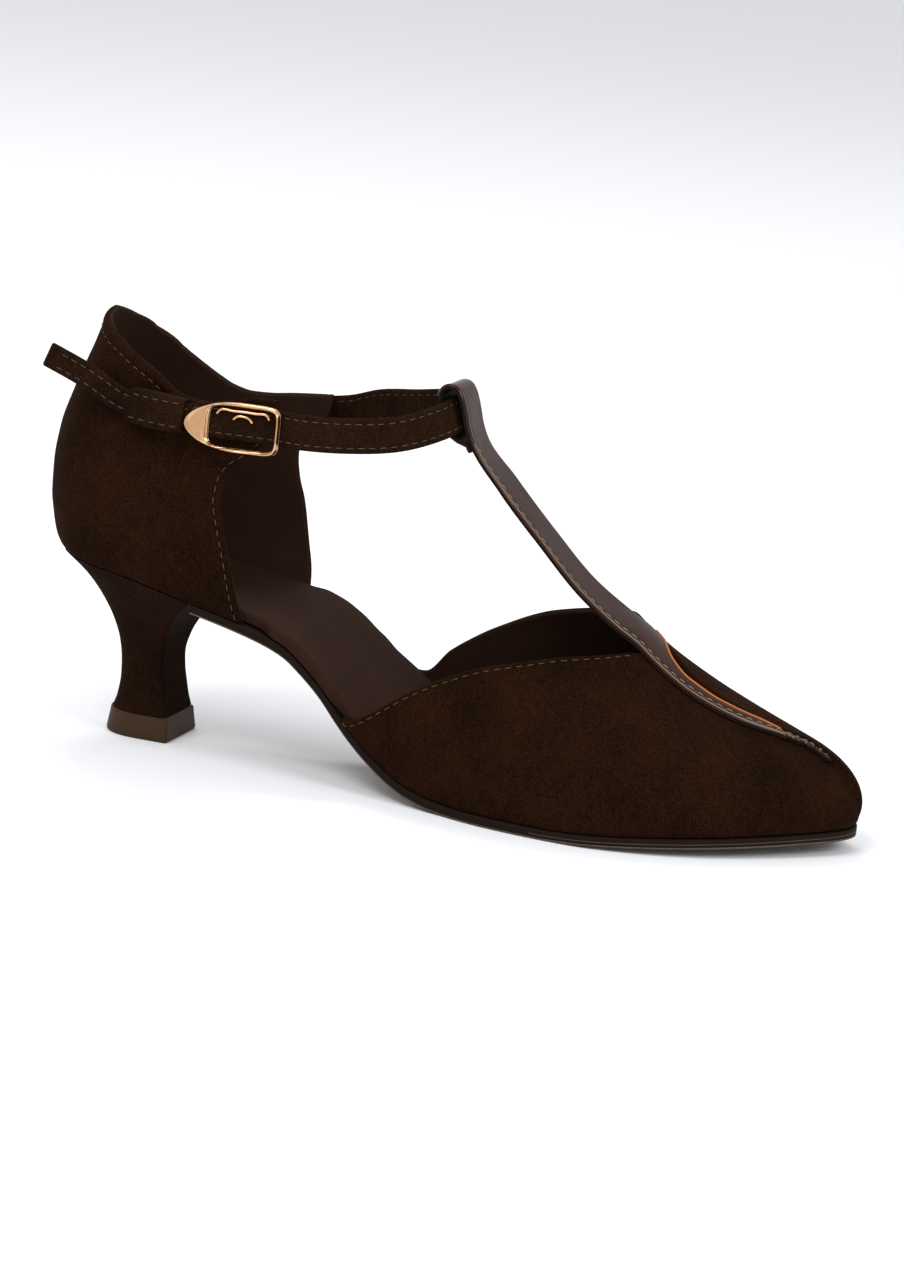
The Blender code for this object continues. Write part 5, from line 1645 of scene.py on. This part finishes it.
def make_heel_tip():
    """The flared cap under the heel, flat on the floor."""
    x, y = heel_ring(0.0)
    x = (x - 0.5 * (x.min() + x.max())) / (x.max() - x.min()) * HEEL_TIP_DEPTH
    y = y * 0.5 * HEEL_TIP_WIDTH / np.max(np.abs(y))
    rings = np.array([np.stack([TIP_ALONG + x * grow, y * grow, np.full_like(x, level)], axis=1)
                      for level, grow in HEEL_TIP_FLARE])
    form = Form()
    add_rings(form, even_rings(rings, ROUND_TIP, HEEL_TIP_CORNER))
    form.make("heel_tip", [TIP], "heel_tip", crease=40)


# Floor, light and camera

SKY_LIGHT = 0.8

# Lamps: name, place, size and power
LAMPS = (("key", (-0.4, -0.9, 1.4), (0.7, 0.5), 11.0),
         ("front", (1.3, -0.5, 1.0), (0.6, 0.6), 9.0),
         ("rim", (-0.5, 1.0, 1.7), (0.8, 0.3), 10.0))


def make_stage():
    """A pale floor, soft light from all round and three large lamps."""
    mesh = bpy.data.meshes.new("floor")
    reach = 6.0
    mesh.from_pydata([(-reach, -reach, 0), (reach, -reach, 0), (reach, reach, 0), (-reach, reach, 0)],
                     [], [(0, 1, 2, 3)])
    floor = bpy.data.objects.new("floor", mesh)
    made = Finish("floor_white", Roughness=0.9, Specular_IOR_Level=0.1)
    made.shader.inputs["Base Color"].default_value = (0.86, 0.87, 0.90, 1.0)
    mesh.materials.append(made.material)
    bpy.context.scene.collection.objects.link(floor)
    floor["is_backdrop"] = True
    world = bpy.data.worlds.new("studio")
    world.use_nodes = True
    world.node_tree.nodes["Background"].inputs["Color"].default_value = (1.0, 1.0, 1.0, 1.0)
    world.node_tree.nodes["Background"].inputs["Strength"].default_value = SKY_LIGHT
    bpy.context.scene.world = world
    bpy.context.scene.view_settings.view_transform = "Standard"
    for name, place, size, power in LAMPS:
        lamp = bpy.data.lights.new(name, "AREA")
        lamp.shape = "RECTANGLE"
        lamp.size, lamp.size_y = size
        lamp.energy = power
        obj = bpy.data.objects.new(name, lamp)
        obj.location = place
        aim = Vector((0.0, 0.0, 0.05)) - Vector(place)
        obj.rotation_euler = aim.to_track_quat("-Z", "Y").to_euler()
        bpy.context.scene.collection.objects.link(obj)
        obj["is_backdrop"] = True


# The photo's view: turn, height and roll of the camera in degrees, its distance, and its aim
VIEW_TURN = 17.0
VIEW_HEIGHT = 12.5
VIEW_ROLL = 5.9
VIEW_DISTANCE = 1.2
VIEW_LENS = 121.5
VIEW_AIM = (0.115, 0.0, 0.060)
VIEW_SHIFT = (-0.0022, 0.0190)


def make_camera():
    """The camera at the photo's angle."""
    turn, height, roll = (math.radians(angle) for angle in (VIEW_TURN, VIEW_HEIGHT, VIEW_ROLL))
    back = Vector((math.sin(turn) * math.cos(height), -math.cos(turn) * math.cos(height),
                   math.sin(height)))
    level = Vector((math.cos(turn), math.sin(turn), 0.0))
    upright = back.cross(level)
    right = math.cos(roll) * level + math.sin(roll) * upright
    up = math.cos(roll) * upright - math.sin(roll) * level
    eye = (Vector(VIEW_AIM) + Vector(SHOE_AT) + back * VIEW_DISTANCE
           - right * VIEW_SHIFT[0] - up * VIEW_SHIFT[1])
    data = bpy.data.cameras.new("camera")
    data.lens = VIEW_LENS
    data.sensor_width = 36.0
    data.clip_start = 0.01
    obj = bpy.data.objects.new("camera", data)
    turned = Matrix((right, up, back)).transposed().to_4x4()
    turned.translation = eye
    obj.matrix_world = turned
    bpy.context.scene.collection.objects.link(obj)
    bpy.context.scene.camera = obj
    obj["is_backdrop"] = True


def main():
    vamp = Vamp()
    make_quarter()
    make_vamp(vamp)
    make_ankle_strap(AnkleStrap(ALONG_STRAP))
    make_keeper()
    make_t_strap(TStrap(vamp))
    make_buckle()
    make_outsole()
    make_insole()
    make_heel()
    make_heel_tip()
    make_stage()
    make_camera()


main()

({name: [list(corner) for corner in box]
           for name, box in (("solids", solids_box), ("dressed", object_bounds()))})
